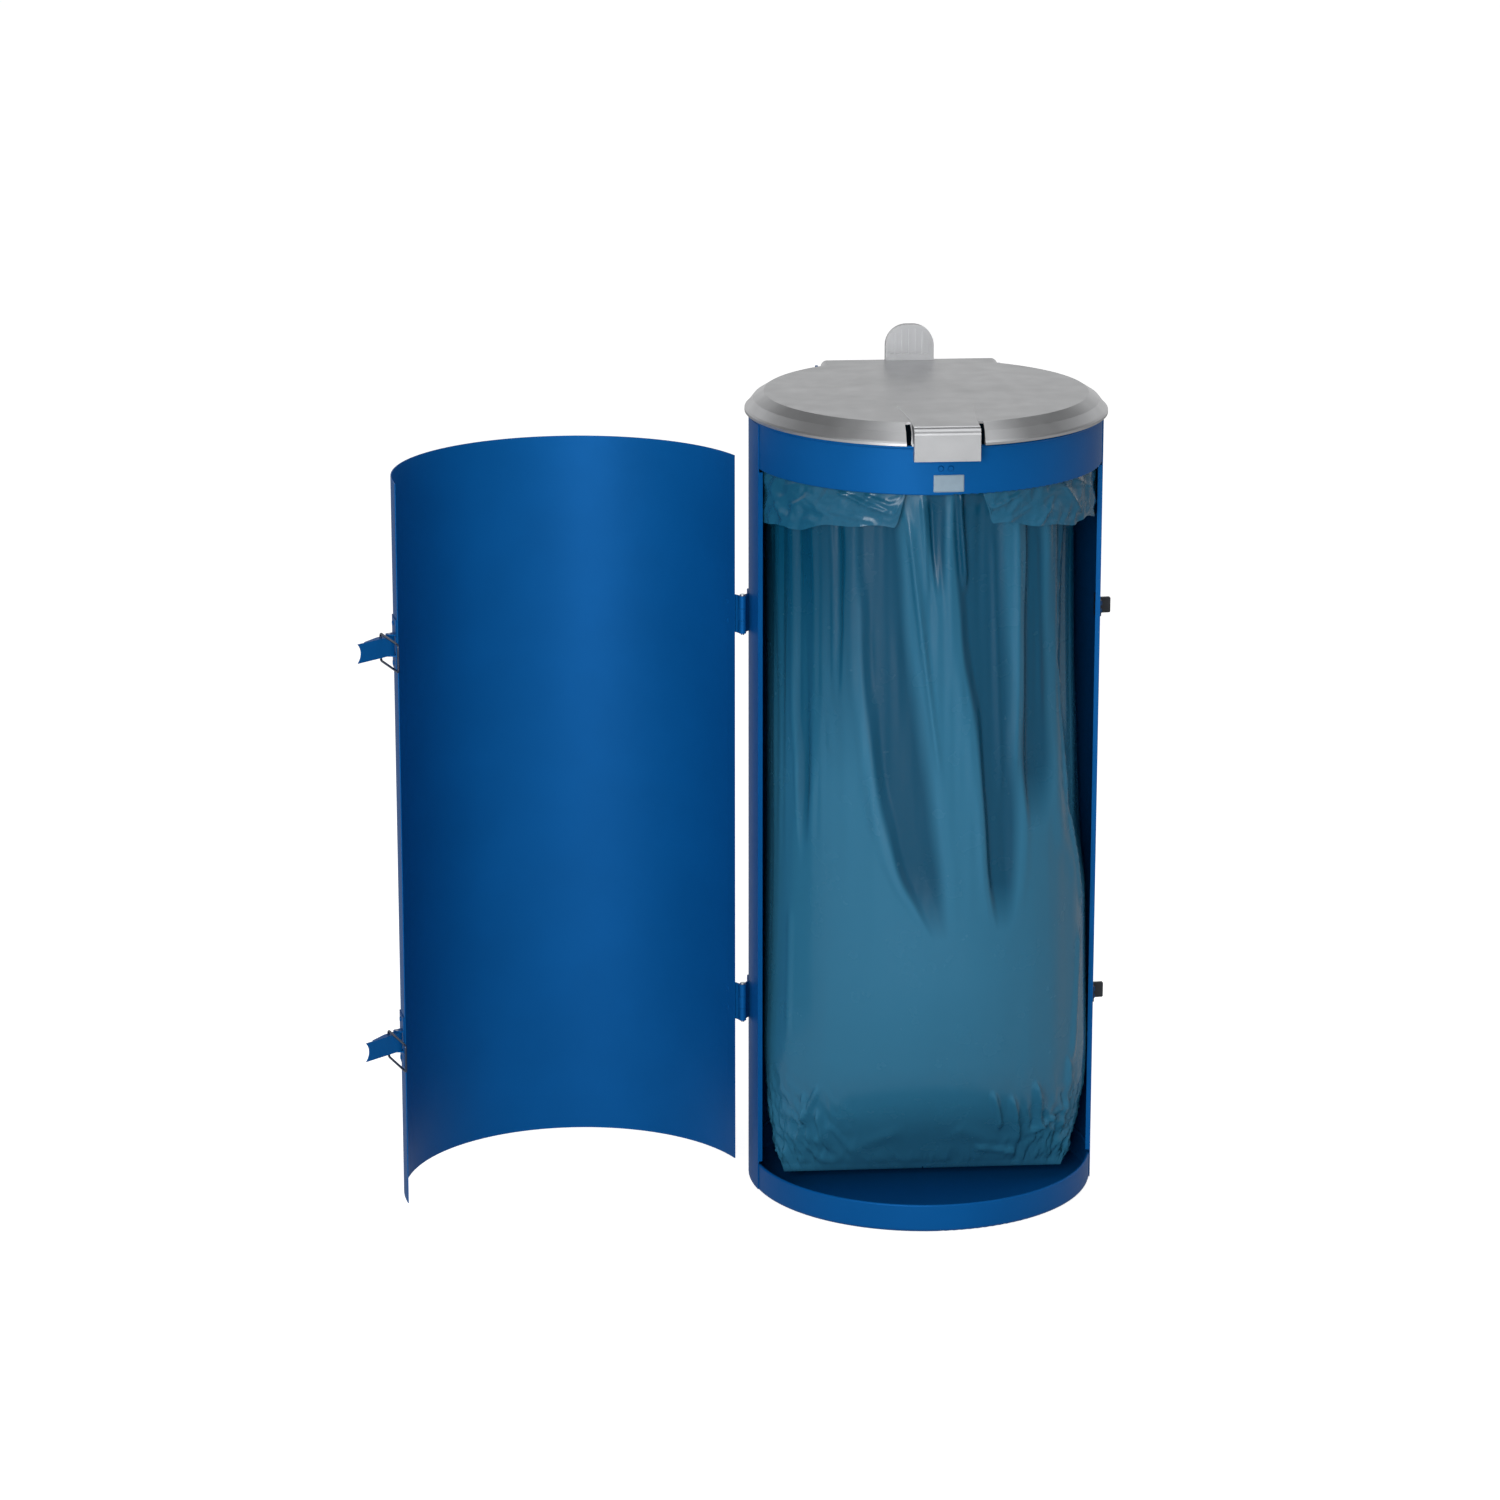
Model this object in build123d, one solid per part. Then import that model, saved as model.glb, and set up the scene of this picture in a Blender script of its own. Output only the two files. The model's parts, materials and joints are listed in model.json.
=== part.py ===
"""Steel waste bin for a hanging sack: round sheet housing, front door on hinges, two toggle
latches, moulded lid and a gathered film sack. Millimetres, +Z up, the door opening faces -Y,
and the origin is on the floor at the centre of the base tray."""
import os
from math import asin, atan2, cos, degrees, hypot, pi, radians, sin, sqrt

from build123d import *

# Housing
body_r = 220.0            # outer radius of the rolled housing sheet
sheet = 1.2               # housing and door sheet
weld_gap = 0.05           # between sheets that are spot-welded or riveted together
shell_right_deg = -11.0   # front edges of the rear shell, counted from +X
shell_left_deg = 194.6
shell_bottom = 3.0
return_depth = 6.0        # inward fold along both front edges
return_margin = 4.0       # the fold stops short of tray and ring by this much
tray_floor = 1.5
tray_rim_h = 36.0
tray_corner_r = 5.0
tray_bead_r = 2.0
ring_top = 1002.7         # highest point of the top ring's rolled bead
ring_h = 60.7             # from there down to its lower edge
ring_bead_r = 2.2
ring_hem_r = 1.5

# Sack ring and the lugs that carry it
sack_ring_in = 17.0       # middle of the bar, inside the housing's outer face
sack_bar_r = 4.0
sack_ring_up = 24.0       # middle of the bar, above the lower edge of the top ring
lug_count = 3
lug_start_deg = -90.0
lug_w = 24.0
lug_t = 2.0
lug_h = 25.0
lug_shelf_past = 2.5      # the shelf runs this far past the middle of the bar
lug_rivet_up = 9.0        # rivets above the middle of the bar
seat_gap = 0.3

# Sack
film = 0.8
sack_bottom_z = 20.0
sack_shift_y = -42.0      # the bottom seam lies forward of the centre
neck_h = 26.0             # the smooth neck ends this far below the bar, and the gathers begin
neck_lap = 8.0            # the gathered film runs this far up behind the neck
sack_flutes = 15
flute_points = 4          # points of the outline for each gather
flute_depth = 6.5
flute_grow = 0.10         # share of the depth in which the gathers reach their full depth
flute_fade = 0.60         # share of the depth at which they have died away
flute_drift = 1.3         # unevenness of their spacing
seam_half_d = 9.0         # half depth of the sack at its bottom seam
hem_h = 76.0              # the hem hangs this far below the middle of the bar
hem_wave = 1.6
hem_flare = 3.0
hem_gap_top = 15.0        # half width of the parting at a lug
hem_gap_low = 34.0
hem_gap_start = 2.0       # the parting starts this far below the middle of the ring

# Door
door_gap = 1.0            # closed door to housing
door_lap_low = 8.0        # the door covers this much of the tray's rim
door_lap_high = 8.0       # and this much of the top ring
hinge_deg = 182.6         # place of the hinge axis round the housing
hinge_out = 9.0           # hinge axis outside the housing sheet
door_edge_deg = 184.5     # hinge side edge of the closed door
door_free_deg = 352.6     # free edge of the closed door
open_deg = 161.0          # how far the door stands open
fitting_z = (748.0, 240.0)  # heights of hinges, latches and strikes, upper and lower
fitting_names = ("upper", "lower")

# Door hinges
hinge_h = 48.0
knuckle_h = 15.4          # the middle knuckle, on the door leaf
knuckle_gap = 0.3
barrel_r = 4.5
pin_r = 2.2
pin_fit = 0.05
pin_overhang = 2.0
pin_head_r = 3.5
leaf_t = 2.0
leaf_reach = 38.0         # from the hinge axis to the end of a leaf
joggle_start = 5.5
joggle_end = 13.0
joggle_near = 1.0         # the strap runs flat from this far before the end of the joggle
joggle_far = 1.5          # to this far past it
strap_end_drop = 0.2

# Toggle latches, laid out in the plane square to Z: s beyond the door's free edge, n outward
pivot_s = -10.0
pivot_n = 8.0
lever_open_deg = 59.0
lever_shut_deg = 186.0
lever_len = 58.0
lever_nose = 3.0
lever_w = 24.0
lever_t = 1.5
lever_top = 6.5           # outer face of the lever above its pivot
lever_cheek = 3.5         # the side walls reach this far past the pivot
cheek_back = 4.5
cheek_corner = 2.0
cheek_past_hook = 4.0
cheek_len = 43.5
cheek_end_h = 4.0
lever_notch_r = 16.0
lever_notch_depth = 6.0
bail_arm = 14.0           # bail hole to lever pivot
bail_wire_r = 1.5
bail_half_w = 17.0
bail_bend_r = 3.2
bail_stub = 9.5
bail_open_deg = -7.1
base_half_h = 32.0
base_near = -2.0
base_far = -36.0
base_t = 1.5
base_rivet_share = 0.78   # rivets from the middle of the plate, as a share of its half height
ear_gap = 0.4
ear_t = 1.5
ear_half = 7.0
ear_head_r = 4.4
ear_foot = 0.4
pin_r_latch = 2.0
pin_proud = 0.2
pin_press = 0.01

# Strikes
bail_shut_s = 40.0        # the bail's end bar when the latch is shut
bail_shut_n = 3.5
strike_proud = 16.0
strike_t = 4.0
strike_half_h = 10.0
strike_flange_t = 2.0
strike_flange_deg = 5.6
strike_rivet_share = 0.62  # rivets from the upright, as a share of the flange
strike_lean = 1.0
strike_root = 0.15        # foot of the upright above the housing sheet
strike_set_back = 0.2
strike_chamfer = 1.2
backing_t = 2.2
backing_half_h = 14.0
backing_deg = 9.0

# Lid
lid_lift = 0.3            # lip above the top ring
lid_overhang = 5.0        # lip beyond the housing
lid_slope_w = 24.0        # from the lip in to the edge of the flat top
lid_rise = 24.0           # lip to flat top
lid_crown = 1.5
lid_t = 3.0
lid_shoulder = (13.5, 8.5)  # out from and down from the edge of the flat top
lid_roll = (2.5, 5.0)     # in from and up from the foot of the lip
lip_h = 3.0
lid_in = (0.0, 0.5, 0.8, 1.0, 1.0)    # share of the wall that each inner corner lies inward
lid_down = (1.0, 1.0, 0.75, 0.1, 0.0)  # and below its outer one
cut_deep = 40.0           # depth of a cut that clears all below the lid
cut_wide = 20.0           # a cut through the rim runs this far past it
cut_past = 1.0            # any other cut runs this far past the face that it opens
skirt_in = 6.0            # skirt inside the housing's outer face
skirt_t = 2.5
skirt_drop = 7.0
skirt_root = 0.75         # its top below the shoulder of the lid
grip_half_w = 40.0
grip_proud = 11.0         # front of the grip beyond the lip
grip_root = 37.0          # and its root inside the lip
grip_drop = 15.7          # its foot below the top of the ring
grip_round = 8.0
grip_slot = 6.5
grip_slot_gap = 1.0
grip_slot_short = 5.0     # the slots beside it stop this far short of its root
grip_lip_gap = 1.2
tongue_run = 127.0        # the raised panel starts this far inside the lip
tongue_half_back = 47.5
tongue_rise = 1.4
tongue_bevel = 0.84
tab_half_w = 31.0
tab_h = 46.0
tab_t = 10.0
tab_set_in = 1.0          # back of the tab in front of the straight back edge
tab_corner_r = 27.0
tab_frame = 5.0
tab_recess = 2.0
tab_ribs = 5
tab_rib_w = 3.0

# Lid hinge at the back of the housing
rod_in = 6.0              # axis inside the housing's outer face
rod_rise = 7.3            # and above the top ring
rod_r = 3.0
rod_overhang = 5.5        # end of the rod past the outer face of a bracket
rod_head_r = 4.5
rod_head_t = 2.0
box_half_w = 113.0
box_depth = 54.0
box_round = 4.0           # along its back edge
box_end_round = 8.0       # and at both ends
box_to_rod = 10.0         # its back face in front of the rod's axis
boss_r = 6.9
boss_w = 29.0
bracket_gap = 2.5         # bracket beside the end of the box
bracket_t = 3.0
bracket_drop = 52.7       # foot of a bracket below the top of the ring
bracket_flange_w = 24.0
bracket_head_r = 8.0
bracket_h = 48.0
bracket_ear_low = 4.0     # the ear starts this far above the foot of its flange
bracket_set_back = 6.0    # its lower part is this much shorter than its head
bracket_neck_h = 30.0     # height of the head and neck, below the rod
bracket_web_in = 2.0
ear_slot_gap = 1.0
ear_slot_run = 10.0       # the slot for an ear starts this far in front of it

# Rivets
rivet_r = 2.0
rivet_head_r = 3.8
rivet_head_h = 1.4
rivet_crown_r = 2.7
rivet_flush_h = 0.5       # flattened tail inside the door, which closes over the housing sheet
rivet_fit = 0.05
bore_l = 24.0             # long enough for every sheet that a rivet holds

band_low = ring_top - ring_h
sack_ring_r = body_r - sack_ring_in
sack_ring_z = band_low + sack_ring_up
sack_neck_z = sack_ring_z - neck_h
hem_low = sack_ring_z - hem_h
lug_shelf_end = sack_ring_r - lug_shelf_past
door_low = tray_rim_h - door_lap_low
door_high = band_low + door_lap_high
lip_r = body_r + lid_overhang
lid_flat_r = lip_r - lid_slope_w
skirt_r = body_r - skirt_in
grip_y = -lip_r - grip_proud
grip_back_y = -lip_r + grip_root
grip_low = ring_top - grip_drop
tongue_back_y = -lip_r + tongue_run
rod_y = body_r - rod_in
box_back_y = rod_y - box_to_rod
box_front_y = box_back_y - box_depth
tab_back_y = box_back_y - tab_set_in
bracket_x = box_half_w + bracket_gap
bracket_low = ring_top - bracket_drop
bracket_front_y = sqrt((body_r + weld_gap) ** 2 - bracket_x ** 2)
rod_end_x = bracket_x + bracket_t + rod_overhang
ear_slot_front_y = bracket_front_y - ear_slot_run
hook_shut = (pivot_s + bail_arm * cos(radians(lever_shut_deg)),
             pivot_n + bail_arm * sin(radians(lever_shut_deg)))
bail_len = hypot(bail_shut_s - hook_shut[0], bail_shut_n - hook_shut[1])
shell_in = body_r - sheet
seat_r = shell_in - weld_gap
latch_pin_half = lever_w / 2 + ear_gap + ear_t + pin_proud
door_in = body_r + door_gap
door_out = door_in + sheet
axis_r = body_r + hinge_out
bead_z = ring_top - ring_bead_r
shell_top = bead_z - ring_bead_r - seat_gap
lip_z = ring_top + lid_lift
flat_z = lip_z + lid_rise
rod_z = ring_top + rod_rise
sack_tube_r = sack_bar_r + seat_gap
lug_angles = [lug_start_deg + i * 360.0 / lug_count for i in range(lug_count)]


def polar(r, a):
    """Point at radius r and angle a in degrees."""
    return (r * cos(radians(a)), r * sin(radians(a)))


hinge_at = polar(axis_r, hinge_deg)


def sector(r0, r1, a0, a1):
    """Flat piece of an annulus between two radii and two angles."""
    outer = CenterArc((0, 0), r1, a0, a1 - a0)
    inner = CenterArc((0, 0), r0, a0, a1 - a0)
    sides = [Line(polar(r0, a), polar(r1, a)) for a in (a0, a1)]
    return make_face([outer, inner, *sides])


def arc_wall(r0, r1, a0, a1, z0, z1):
    """Curved wall between two radii, angles and heights."""
    return Pos(0, 0, z0) * extrude(sector(r0, r1, a0, a1), z1 - z0)


def slab(face, half):
    """A flat outline given thickness both ways."""
    return extrude(face, half, both=True)


def rz_face(points):
    """Outline in the half plane of radius and height, ready to revolve about Z."""
    return make_face(Plane.XZ * Polyline(*points, close=True))


def bead(r, z, wire_r):
    """Round bead running all the way round."""
    return Pos(0, 0, z) * Torus(r, wire_r)


def turn(face):
    return revolve(face, Axis.Z)


def rivet_cap(height):
    """Low cone about the X axis, its flat side at X = 0."""
    profile = Polyline((0, 0), (0, rivet_head_r), (height, rivet_crown_r), (height, 0), close=True)
    return revolve(make_face(profile), Axis.X)


def rivet(r_head, r_tail, a, z, tail_h=rivet_head_h):
    """Rivet along a radius at angle a: head outside at r_head, tail inside at r_tail."""
    length = r_head - r_tail + rivet_fit
    shank = Pos(-length / 2, 0, 0) * Rot(0, 90, 0) * Cylinder(rivet_r, length)
    tail = Pos(-length, 0, 0) * Rot(0, 0, 180) * rivet_cap(tail_h)
    body = rivet_cap(rivet_head_h) + shank + tail
    return Rot(0, 0, a) * Pos(r_head, 0, z) * body


def rivet_hole(r, a, z):
    """Hole along a radius."""
    bore = Rot(0, 90, 0) * Cylinder(rivet_r + rivet_fit, bore_l)
    return Rot(0, 0, a) * Pos(r, 0, z) * bore


def swing(shape):
    """Turns a piece of the closed door to where the open door stands."""
    x, y = hinge_at
    return Pos(x, y, 0) * Rot(0, 0, -open_deg) * Pos(-x, -y, 0) * shape


def on_free_edge(z):
    """Plane on the closed door's free edge: X along s, Y along n."""
    a = radians(door_free_deg)
    along = (-sin(a), cos(a), 0)
    return Plane(origin=(*polar(door_out, door_free_deg), z), x_dir=along, z_dir=(0, 0, -1))


def degrees_at(length, r):
    """Angle that an arc of this length covers at radius r."""
    return degrees(length / r)


rivet_span = hinge_h / 4
leaf_rivet_at = (joggle_end + leaf_reach) / 2
body_rivet_deg = hinge_deg - degrees_at(leaf_rivet_at, body_r)
door_rivet_deg = hinge_deg + degrees_at(leaf_rivet_at, body_r)
base_rivet_deg = door_free_deg + degrees_at((base_far + base_near) / 2, door_out)
base_rivet_dz = base_half_h * base_rivet_share
bar_r = hypot(door_out + bail_shut_n, bail_shut_s)
bar_deg = door_free_deg - 360 + degrees(atan2(bail_shut_s, door_out + bail_shut_n))
strike_face_deg = bar_deg - degrees_at(bail_wire_r + strike_lean / 2 + seat_gap / 2, bar_r)
strike_rivet_deg = strike_face_deg - strike_flange_deg * strike_rivet_share
strike_rivet_dz = strike_half_h / 2
lug_rivet_z = sack_ring_z + lug_rivet_up
lug_rivet_deg = degrees_at(lug_w / 4, seat_r)
bracket_flange_deg = degrees(asin((bracket_x - bracket_flange_w / 2) / body_r))
bracket_rivet_z = (bracket_low + bracket_h / 4, bracket_low + 3 * bracket_h / 4)


def body_leaf_rivets(z):
    """Head radius, tail radius, angle and height of the rivets in a leaf on the housing."""
    out = body_r + weld_gap + leaf_t
    return [(out, shell_in, body_rivet_deg, z + side * rivet_span) for side in (-1, 1)]


def door_leaf_rivets(z):
    """The same for a leaf on the closed door."""
    out = door_out + weld_gap + leaf_t
    return [(out, door_in, door_rivet_deg, z + side * rivet_span) for side in (-1, 1)]


def base_rivets(z):
    """The same for the plate of a toggle latch."""
    out = door_out + weld_gap + base_t
    return [(out, door_in, base_rivet_deg, z + side * base_rivet_dz) for side in (-1, 1)]


def strike_rivets(z):
    """The same for a strike with its backing plate."""
    out = body_r + weld_gap + strike_flange_t
    tail = seat_r - backing_t
    return [(out, tail, strike_rivet_deg, z + side * strike_rivet_dz) for side in (-1, 1)]


def lug_rivets(angle):
    """The same for a lug, through the shell too where the shell is behind it."""
    out = body_r if shell_right_deg < angle < shell_left_deg else seat_r
    tail = seat_r - sheet - weld_gap - lug_t
    return [(out, tail, angle + side * lug_rivet_deg, lug_rivet_z) for side in (-1, 1)]


def bracket_rivets(side):
    """The same for a lid bracket."""
    out = body_r + weld_gap + bracket_t
    return [(out, seat_r - sheet, 90 - side * bracket_flange_deg, z) for z in bracket_rivet_z]


def shell_rivets():
    """Every rivet of the housing."""
    return [place for z in fitting_z for place in body_leaf_rivets(z) + strike_rivets(z)] + ring_rivets()


def ring_rivets():
    """The rivets that pass through the top ring."""
    lugs = [place for angle in lug_angles for place in lug_rivets(angle)]
    return lugs + [place for side in (-1, 1) for place in bracket_rivets(side)]


def door_rivets():
    """Every rivet of the door."""
    return [place for z in fitting_z for place in door_leaf_rivets(z) + base_rivets(z)]


def drilled(shape, places):
    """The same piece with a hole for each rivet."""
    return shape - [rivet_hole(head_r, a, z) for head_r, _, a, z in places]


def base_tray():
    """Pan with a rounded bottom corner and a beaded rim."""
    pan = rz_face([(0, 0), (seat_r, 0), (seat_r, tray_rim_h - tray_bead_r),
                   (seat_r - sheet, tray_rim_h - tray_bead_r), (seat_r - sheet, tray_floor),
                   (0, tray_floor)])
    outer = pan.vertices().sort_by_distance((seat_r, 0, 0))[0]
    pan = fillet(outer, tray_corner_r)
    inner = pan.vertices().sort_by_distance((seat_r - sheet, 0, tray_floor))[0]
    pan = fillet(inner, tray_corner_r - sheet)
    return turn(pan) + bead(seat_r - tray_bead_r, tray_rim_h - tray_bead_r, tray_bead_r)


def rear_shell():
    """Rolled sheet with its front edges folded inward."""
    wall = arc_wall(shell_in, body_r, shell_right_deg, shell_left_deg, shell_bottom, shell_top)
    fold_low = tray_rim_h + return_margin
    fold_high = band_low - return_margin
    fold_deg = degrees_at(sheet, shell_in)
    for edge, step in ((shell_right_deg, fold_deg), (shell_left_deg, -fold_deg)):
        a0, a1 = sorted((edge, edge + step))
        wall += arc_wall(body_r - return_depth, shell_in + sheet / 2, a0, a1, fold_low, fold_high)
    return drilled(wall, shell_rivets())


def top_ring():
    """Ring that closes the front above the door, with a rolled top and a hemmed lower edge."""
    wall = turn(rz_face([(seat_r - sheet, band_low + ring_hem_r), (seat_r, band_low + ring_hem_r),
                         (seat_r, bead_z), (seat_r - sheet, bead_z)]))
    wall += bead(seat_r - ring_hem_r, band_low + ring_hem_r, ring_hem_r)
    wall += bead(seat_r, bead_z, ring_bead_r)
    return drilled(wall, ring_rivets())


def sack_ring():
    """Round bar that the sack is folded over."""
    return bead(sack_ring_r, sack_ring_z, sack_bar_r)


def ring_lug(angle):
    """Angle bracket inside the top ring, with a shelf under the sack ring."""
    out_r = seat_r - sheet - weld_gap
    half = degrees_at(lug_w / 2, out_r)
    shelf_top = sack_ring_z - sack_bar_r - seat_gap
    low = shelf_top - lug_t
    flange = arc_wall(out_r - lug_t, out_r, -half, half, low, low + lug_h)
    shelf = arc_wall(lug_shelf_end, out_r, -half, half, low, shelf_top)
    return drilled(Rot(0, 0, angle) * (flange + shelf), lug_rivets(angle))


def flute(theta, z):
    """Depth of the gathers at an angle and a height: none at the neck, most a hand below it."""
    below = max(0.0, sack_neck_z - z) / (sack_neck_z - sack_bottom_z)
    grow = min(1.0, below / flute_grow)
    fade = max(0.0, 1.0 - below / flute_fade)
    return flute_depth * grow * fade * cos(sack_flutes * theta + flute_drift * sin(2 * theta))


def sack_section(z, half_x, half_y, shift, inset):
    """One closed outline of the sack, narrowed by inset."""
    steps = flute_points * sack_flutes
    points = []
    for i in range(steps):
        theta = 2 * pi * i / steps
        wave = flute(theta, z)
        x = (half_x - inset + wave) * cos(theta)
        y = (half_y - inset + min(wave, half_y / 2)) * sin(theta)
        points.append((x, y + shift, z))
    return Face(Wire(Spline(*points, periodic=True)))


def sack_skin(inset):
    """Solid form of the hung sack, its skin moved in by inset."""
    r = sack_ring_r - sack_tube_r - film / 2
    depth = sack_neck_z - sack_bottom_z
    plan = [  # share of the depth, cut off the half width and half depth, share of the forward shift
        (0.0, 0.0, 0.0, 0.0),
        (0.10, 1.5, 1.5, 0.0),
        (0.28, 1.0, 3.0, 0.02),
        (0.50, 0.0, 6.0, 0.08),
        (0.73, 0.0, 20.0, 0.25),
        (0.90, 4.0, 80.0, 0.65),
        (1.0, 20.0, r - seam_half_d, 1.0),
    ]
    rows = [sack_section(sack_neck_z + neck_lap, r, r, 0.0, inset)]
    for share, cut_x, cut_y, shift in plan:
        z = sack_neck_z - share * (depth - inset)
        rows.append(sack_section(z, r - cut_x, r - cut_y, sack_shift_y * shift, inset))
    return loft(rows, ruled=True)


def sack_collar():
    """Neck, fold over the ring and turned-down hem, turned as one strip of film."""
    z = sack_ring_z
    r_in = sack_ring_r - sack_tube_r
    r_out = sack_ring_r + sack_tube_r
    mid_z = (hem_low + z) / 2
    fold = [CenterArc((sack_ring_r, z), sack_tube_r + t, 0, 180) for t in (0.0, film)]
    neck = Polyline((r_in, z), (r_in, sack_neck_z), (r_in - film, sack_neck_z), (r_in - film, z))
    hem = Polyline((r_out + film, z), (r_out + film + hem_wave, mid_z),
                   (r_out + film + hem_flare, hem_low), (r_out + hem_flare, hem_low),
                   (r_out + hem_wave, mid_z), (r_out, z))
    return turn(Plane.XZ * make_face([*fold, neck, hem]))


def hem_parting(angle):
    """Gap in the hem at a lug, wider towards its foot like a parted curtain."""
    top = sack_ring_z - hem_gap_start
    low = hem_low - hem_gap_start
    gap = make_face(Polyline((-hem_gap_top, top), (hem_gap_top, top), (hem_gap_low, low),
                             (-hem_gap_low, low), close=True))
    upright = Plane(origin=(sack_ring_r, 0, 0), x_dir=(0, 1, 0), z_dir=(1, 0, 0))
    return Rot(0, 0, angle) * extrude(upright * gap, body_r - sack_ring_r)


def sack():
    """Film sack: gathered below the ring, folded over it with a parted hem, flat seam below."""
    collar = sack_collar() - [hem_parting(angle) for angle in lug_angles]
    return collar + (sack_skin(0.0) - sack_skin(film))


def arc_solid(r, z0, z1):
    """Full disc between two heights."""
    return Pos(0, 0, z0) * Cylinder(r, z1 - z0, align=(Align.CENTER, Align.CENTER, Align.MIN))


def door_panel():
    """Curved door sheet in its closed place."""
    wall = arc_wall(door_in, door_out, door_edge_deg, door_free_deg, door_low, door_high)
    return drilled(wall, door_rivets())


def hinge_plane(z, toward_door):
    """Plane on the housing at the hinge: X along the leaf, Y outward."""
    a = radians(hinge_deg)
    back = (sin(a), -cos(a), 0)
    if toward_door:
        front = (-back[0], -back[1], 0)
        return Plane(origin=(*polar(body_r, hinge_deg), z), x_dir=front, z_dir=(0, 0, -1))
    return Plane(origin=(*polar(body_r, hinge_deg), z), x_dir=back, z_dir=(0, 0, 1))


def hinge_leaf(z, toward_door):
    """Leaf on a curved sheet, joggled up to its knuckles round the pin."""
    seat = (door_out if toward_door else body_r) + weld_gap
    sign = 1 if toward_door else -1
    near, far = sorted(hinge_deg + sign * degrees_at(u, body_r) for u in (joggle_end, leaf_reach))
    half = hinge_h / 2
    pad = arc_wall(seat, seat + leaf_t, near, far, z - half, z + half)
    flat_from = joggle_end - joggle_near
    flat_to = joggle_end + joggle_far
    low = seat - 2 * body_r + sqrt(body_r ** 2 - flat_from ** 2)
    strap_in = hinge_out - barrel_r
    strap = make_face(Polyline((0, strap_in), (joggle_start, strap_in), (flat_from, low),
                               (flat_to, low), (flat_to, low + leaf_t - strap_end_drop),
                               (flat_from, low + leaf_t), (joggle_start, strap_in + leaf_t),
                               (0, strap_in + leaf_t), close=True))
    web = slab(strap, half)
    ring = Pos(0, hinge_out, 0) * Cylinder(barrel_r, hinge_h)
    keep_out = Pos(0, hinge_out, 0) * Cylinder(barrel_r + knuckle_gap, 2 * hinge_h)
    width = 2 * leaf_reach
    band = Box(width, width, knuckle_h + 2 * knuckle_gap)
    core = Box(width, width, knuckle_h)
    if toward_door:
        piece = (web - keep_out) + ((web + ring) & core)
    else:
        piece = (web + ring) - (keep_out & band)
    piece -= Pos(0, hinge_out, 0) * Cylinder(pin_r + pin_fit, 2 * hinge_h)
    placed = hinge_plane(z, toward_door) * piece + pad
    return drilled(placed, door_leaf_rivets(z) if toward_door else body_leaf_rivets(z))


def hinge_pin(z):
    """Pin with a small head at the top."""
    x, y = hinge_at
    length = hinge_h + 2 * pin_overhang
    head = Pos(0, 0, hinge_h / 2 + pin_overhang / 2 + knuckle_gap / 2) * Cylinder(
        pin_head_r, pin_overhang - knuckle_gap)
    return Pos(x, y, z) * (Cylinder(pin_r, length) + head)


def latch_base(z):
    """Plate on the door with two ears for the lever's pivot."""
    a0 = door_free_deg + degrees_at(base_far, door_out)
    a1 = door_free_deg + degrees_at(base_near, door_out)
    seat = door_out + weld_gap
    plate = arc_wall(seat, seat + base_t, a0, a1, z - base_half_h, z + base_half_h)
    outline = make_face(Polyline((pivot_s - ear_half, ear_foot), (pivot_s + ear_half, ear_foot),
                                 (pivot_s + ear_head_r, pivot_n), (pivot_s - ear_head_r, pivot_n),
                                 close=True))
    outline += Pos(pivot_s, pivot_n) * Circle(ear_head_r)
    outline -= Pos(pivot_s, pivot_n) * Circle(pin_r_latch)
    inner = lever_w / 2 + ear_gap
    ear = extrude(outline, ear_t)
    ears = Pos(0, 0, inner) * ear + Pos(0, 0, -inner - ear_t) * ear
    return drilled(plate + on_free_edge(z) * ears, base_rivets(z))


def latch_pin(z):
    """Pivot pin held in the ears."""
    pin = Cylinder(pin_r_latch - pin_press, 2 * latch_pin_half)
    return on_free_edge(z) * (Pos(pivot_s, pivot_n) * pin)


def lever(z):
    """Folded channel lever with a notched finger end."""
    half = lever_w / 2
    plate = Pos(0, -lever_top + lever_t / 2, 0) * Box(
        lever_len + lever_nose, lever_t, lever_w, align=(Align.MIN, Align.CENTER, Align.CENTER))
    plate = Pos(-lever_nose, 0, 0) * plate
    notch = Pos(lever_len + lever_notch_r - lever_notch_depth, 0, 0) * Rot(90, 0, 0) * Cylinder(
        lever_notch_r, 4 * lever_top)
    root = -lever_top + lever_t / 2
    side = make_face(Polyline((-lever_nose, root), (-cheek_back, -cheek_corner),
                              (-cheek_back, lever_cheek - cheek_corner),
                              (-cheek_back + cheek_corner, lever_cheek),
                              (bail_arm + cheek_past_hook, lever_cheek),
                              (cheek_len, -lever_top + cheek_end_h), (cheek_len, root), close=True))
    cheek = extrude(side, lever_t)
    body = plate - notch + Pos(0, 0, half - lever_t) * cheek + Pos(0, 0, -half) * cheek
    body -= Cylinder(pin_r_latch + pin_fit, 2 * lever_w)
    body -= Pos(bail_arm, 0, 0) * Cylinder(bail_wire_r + pin_fit, 2 * lever_w)
    return on_free_edge(z) * (Pos(pivot_s, pivot_n) * Rot(0, 0, lever_open_deg) * body)


def bail(z):
    """Wire loop hooked into the lever's cheeks."""
    w = bail_half_w
    path = FilletPolyline((0, 0, bail_stub), (0, 0, w), (bail_len, 0, w), (bail_len, 0, -w),
                          (0, 0, -w), (0, 0, -bail_stub), radius=bail_bend_r)
    section = Plane(path @ 0, z_dir=path % 0) * Circle(bail_wire_r)
    wire = sweep(section, path=path)
    hook = (pivot_s + bail_arm * cos(radians(lever_open_deg)),
            pivot_n + bail_arm * sin(radians(lever_open_deg)))
    return on_free_edge(z) * (Pos(*hook) * Rot(0, 0, bail_open_deg) * wire)


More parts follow.
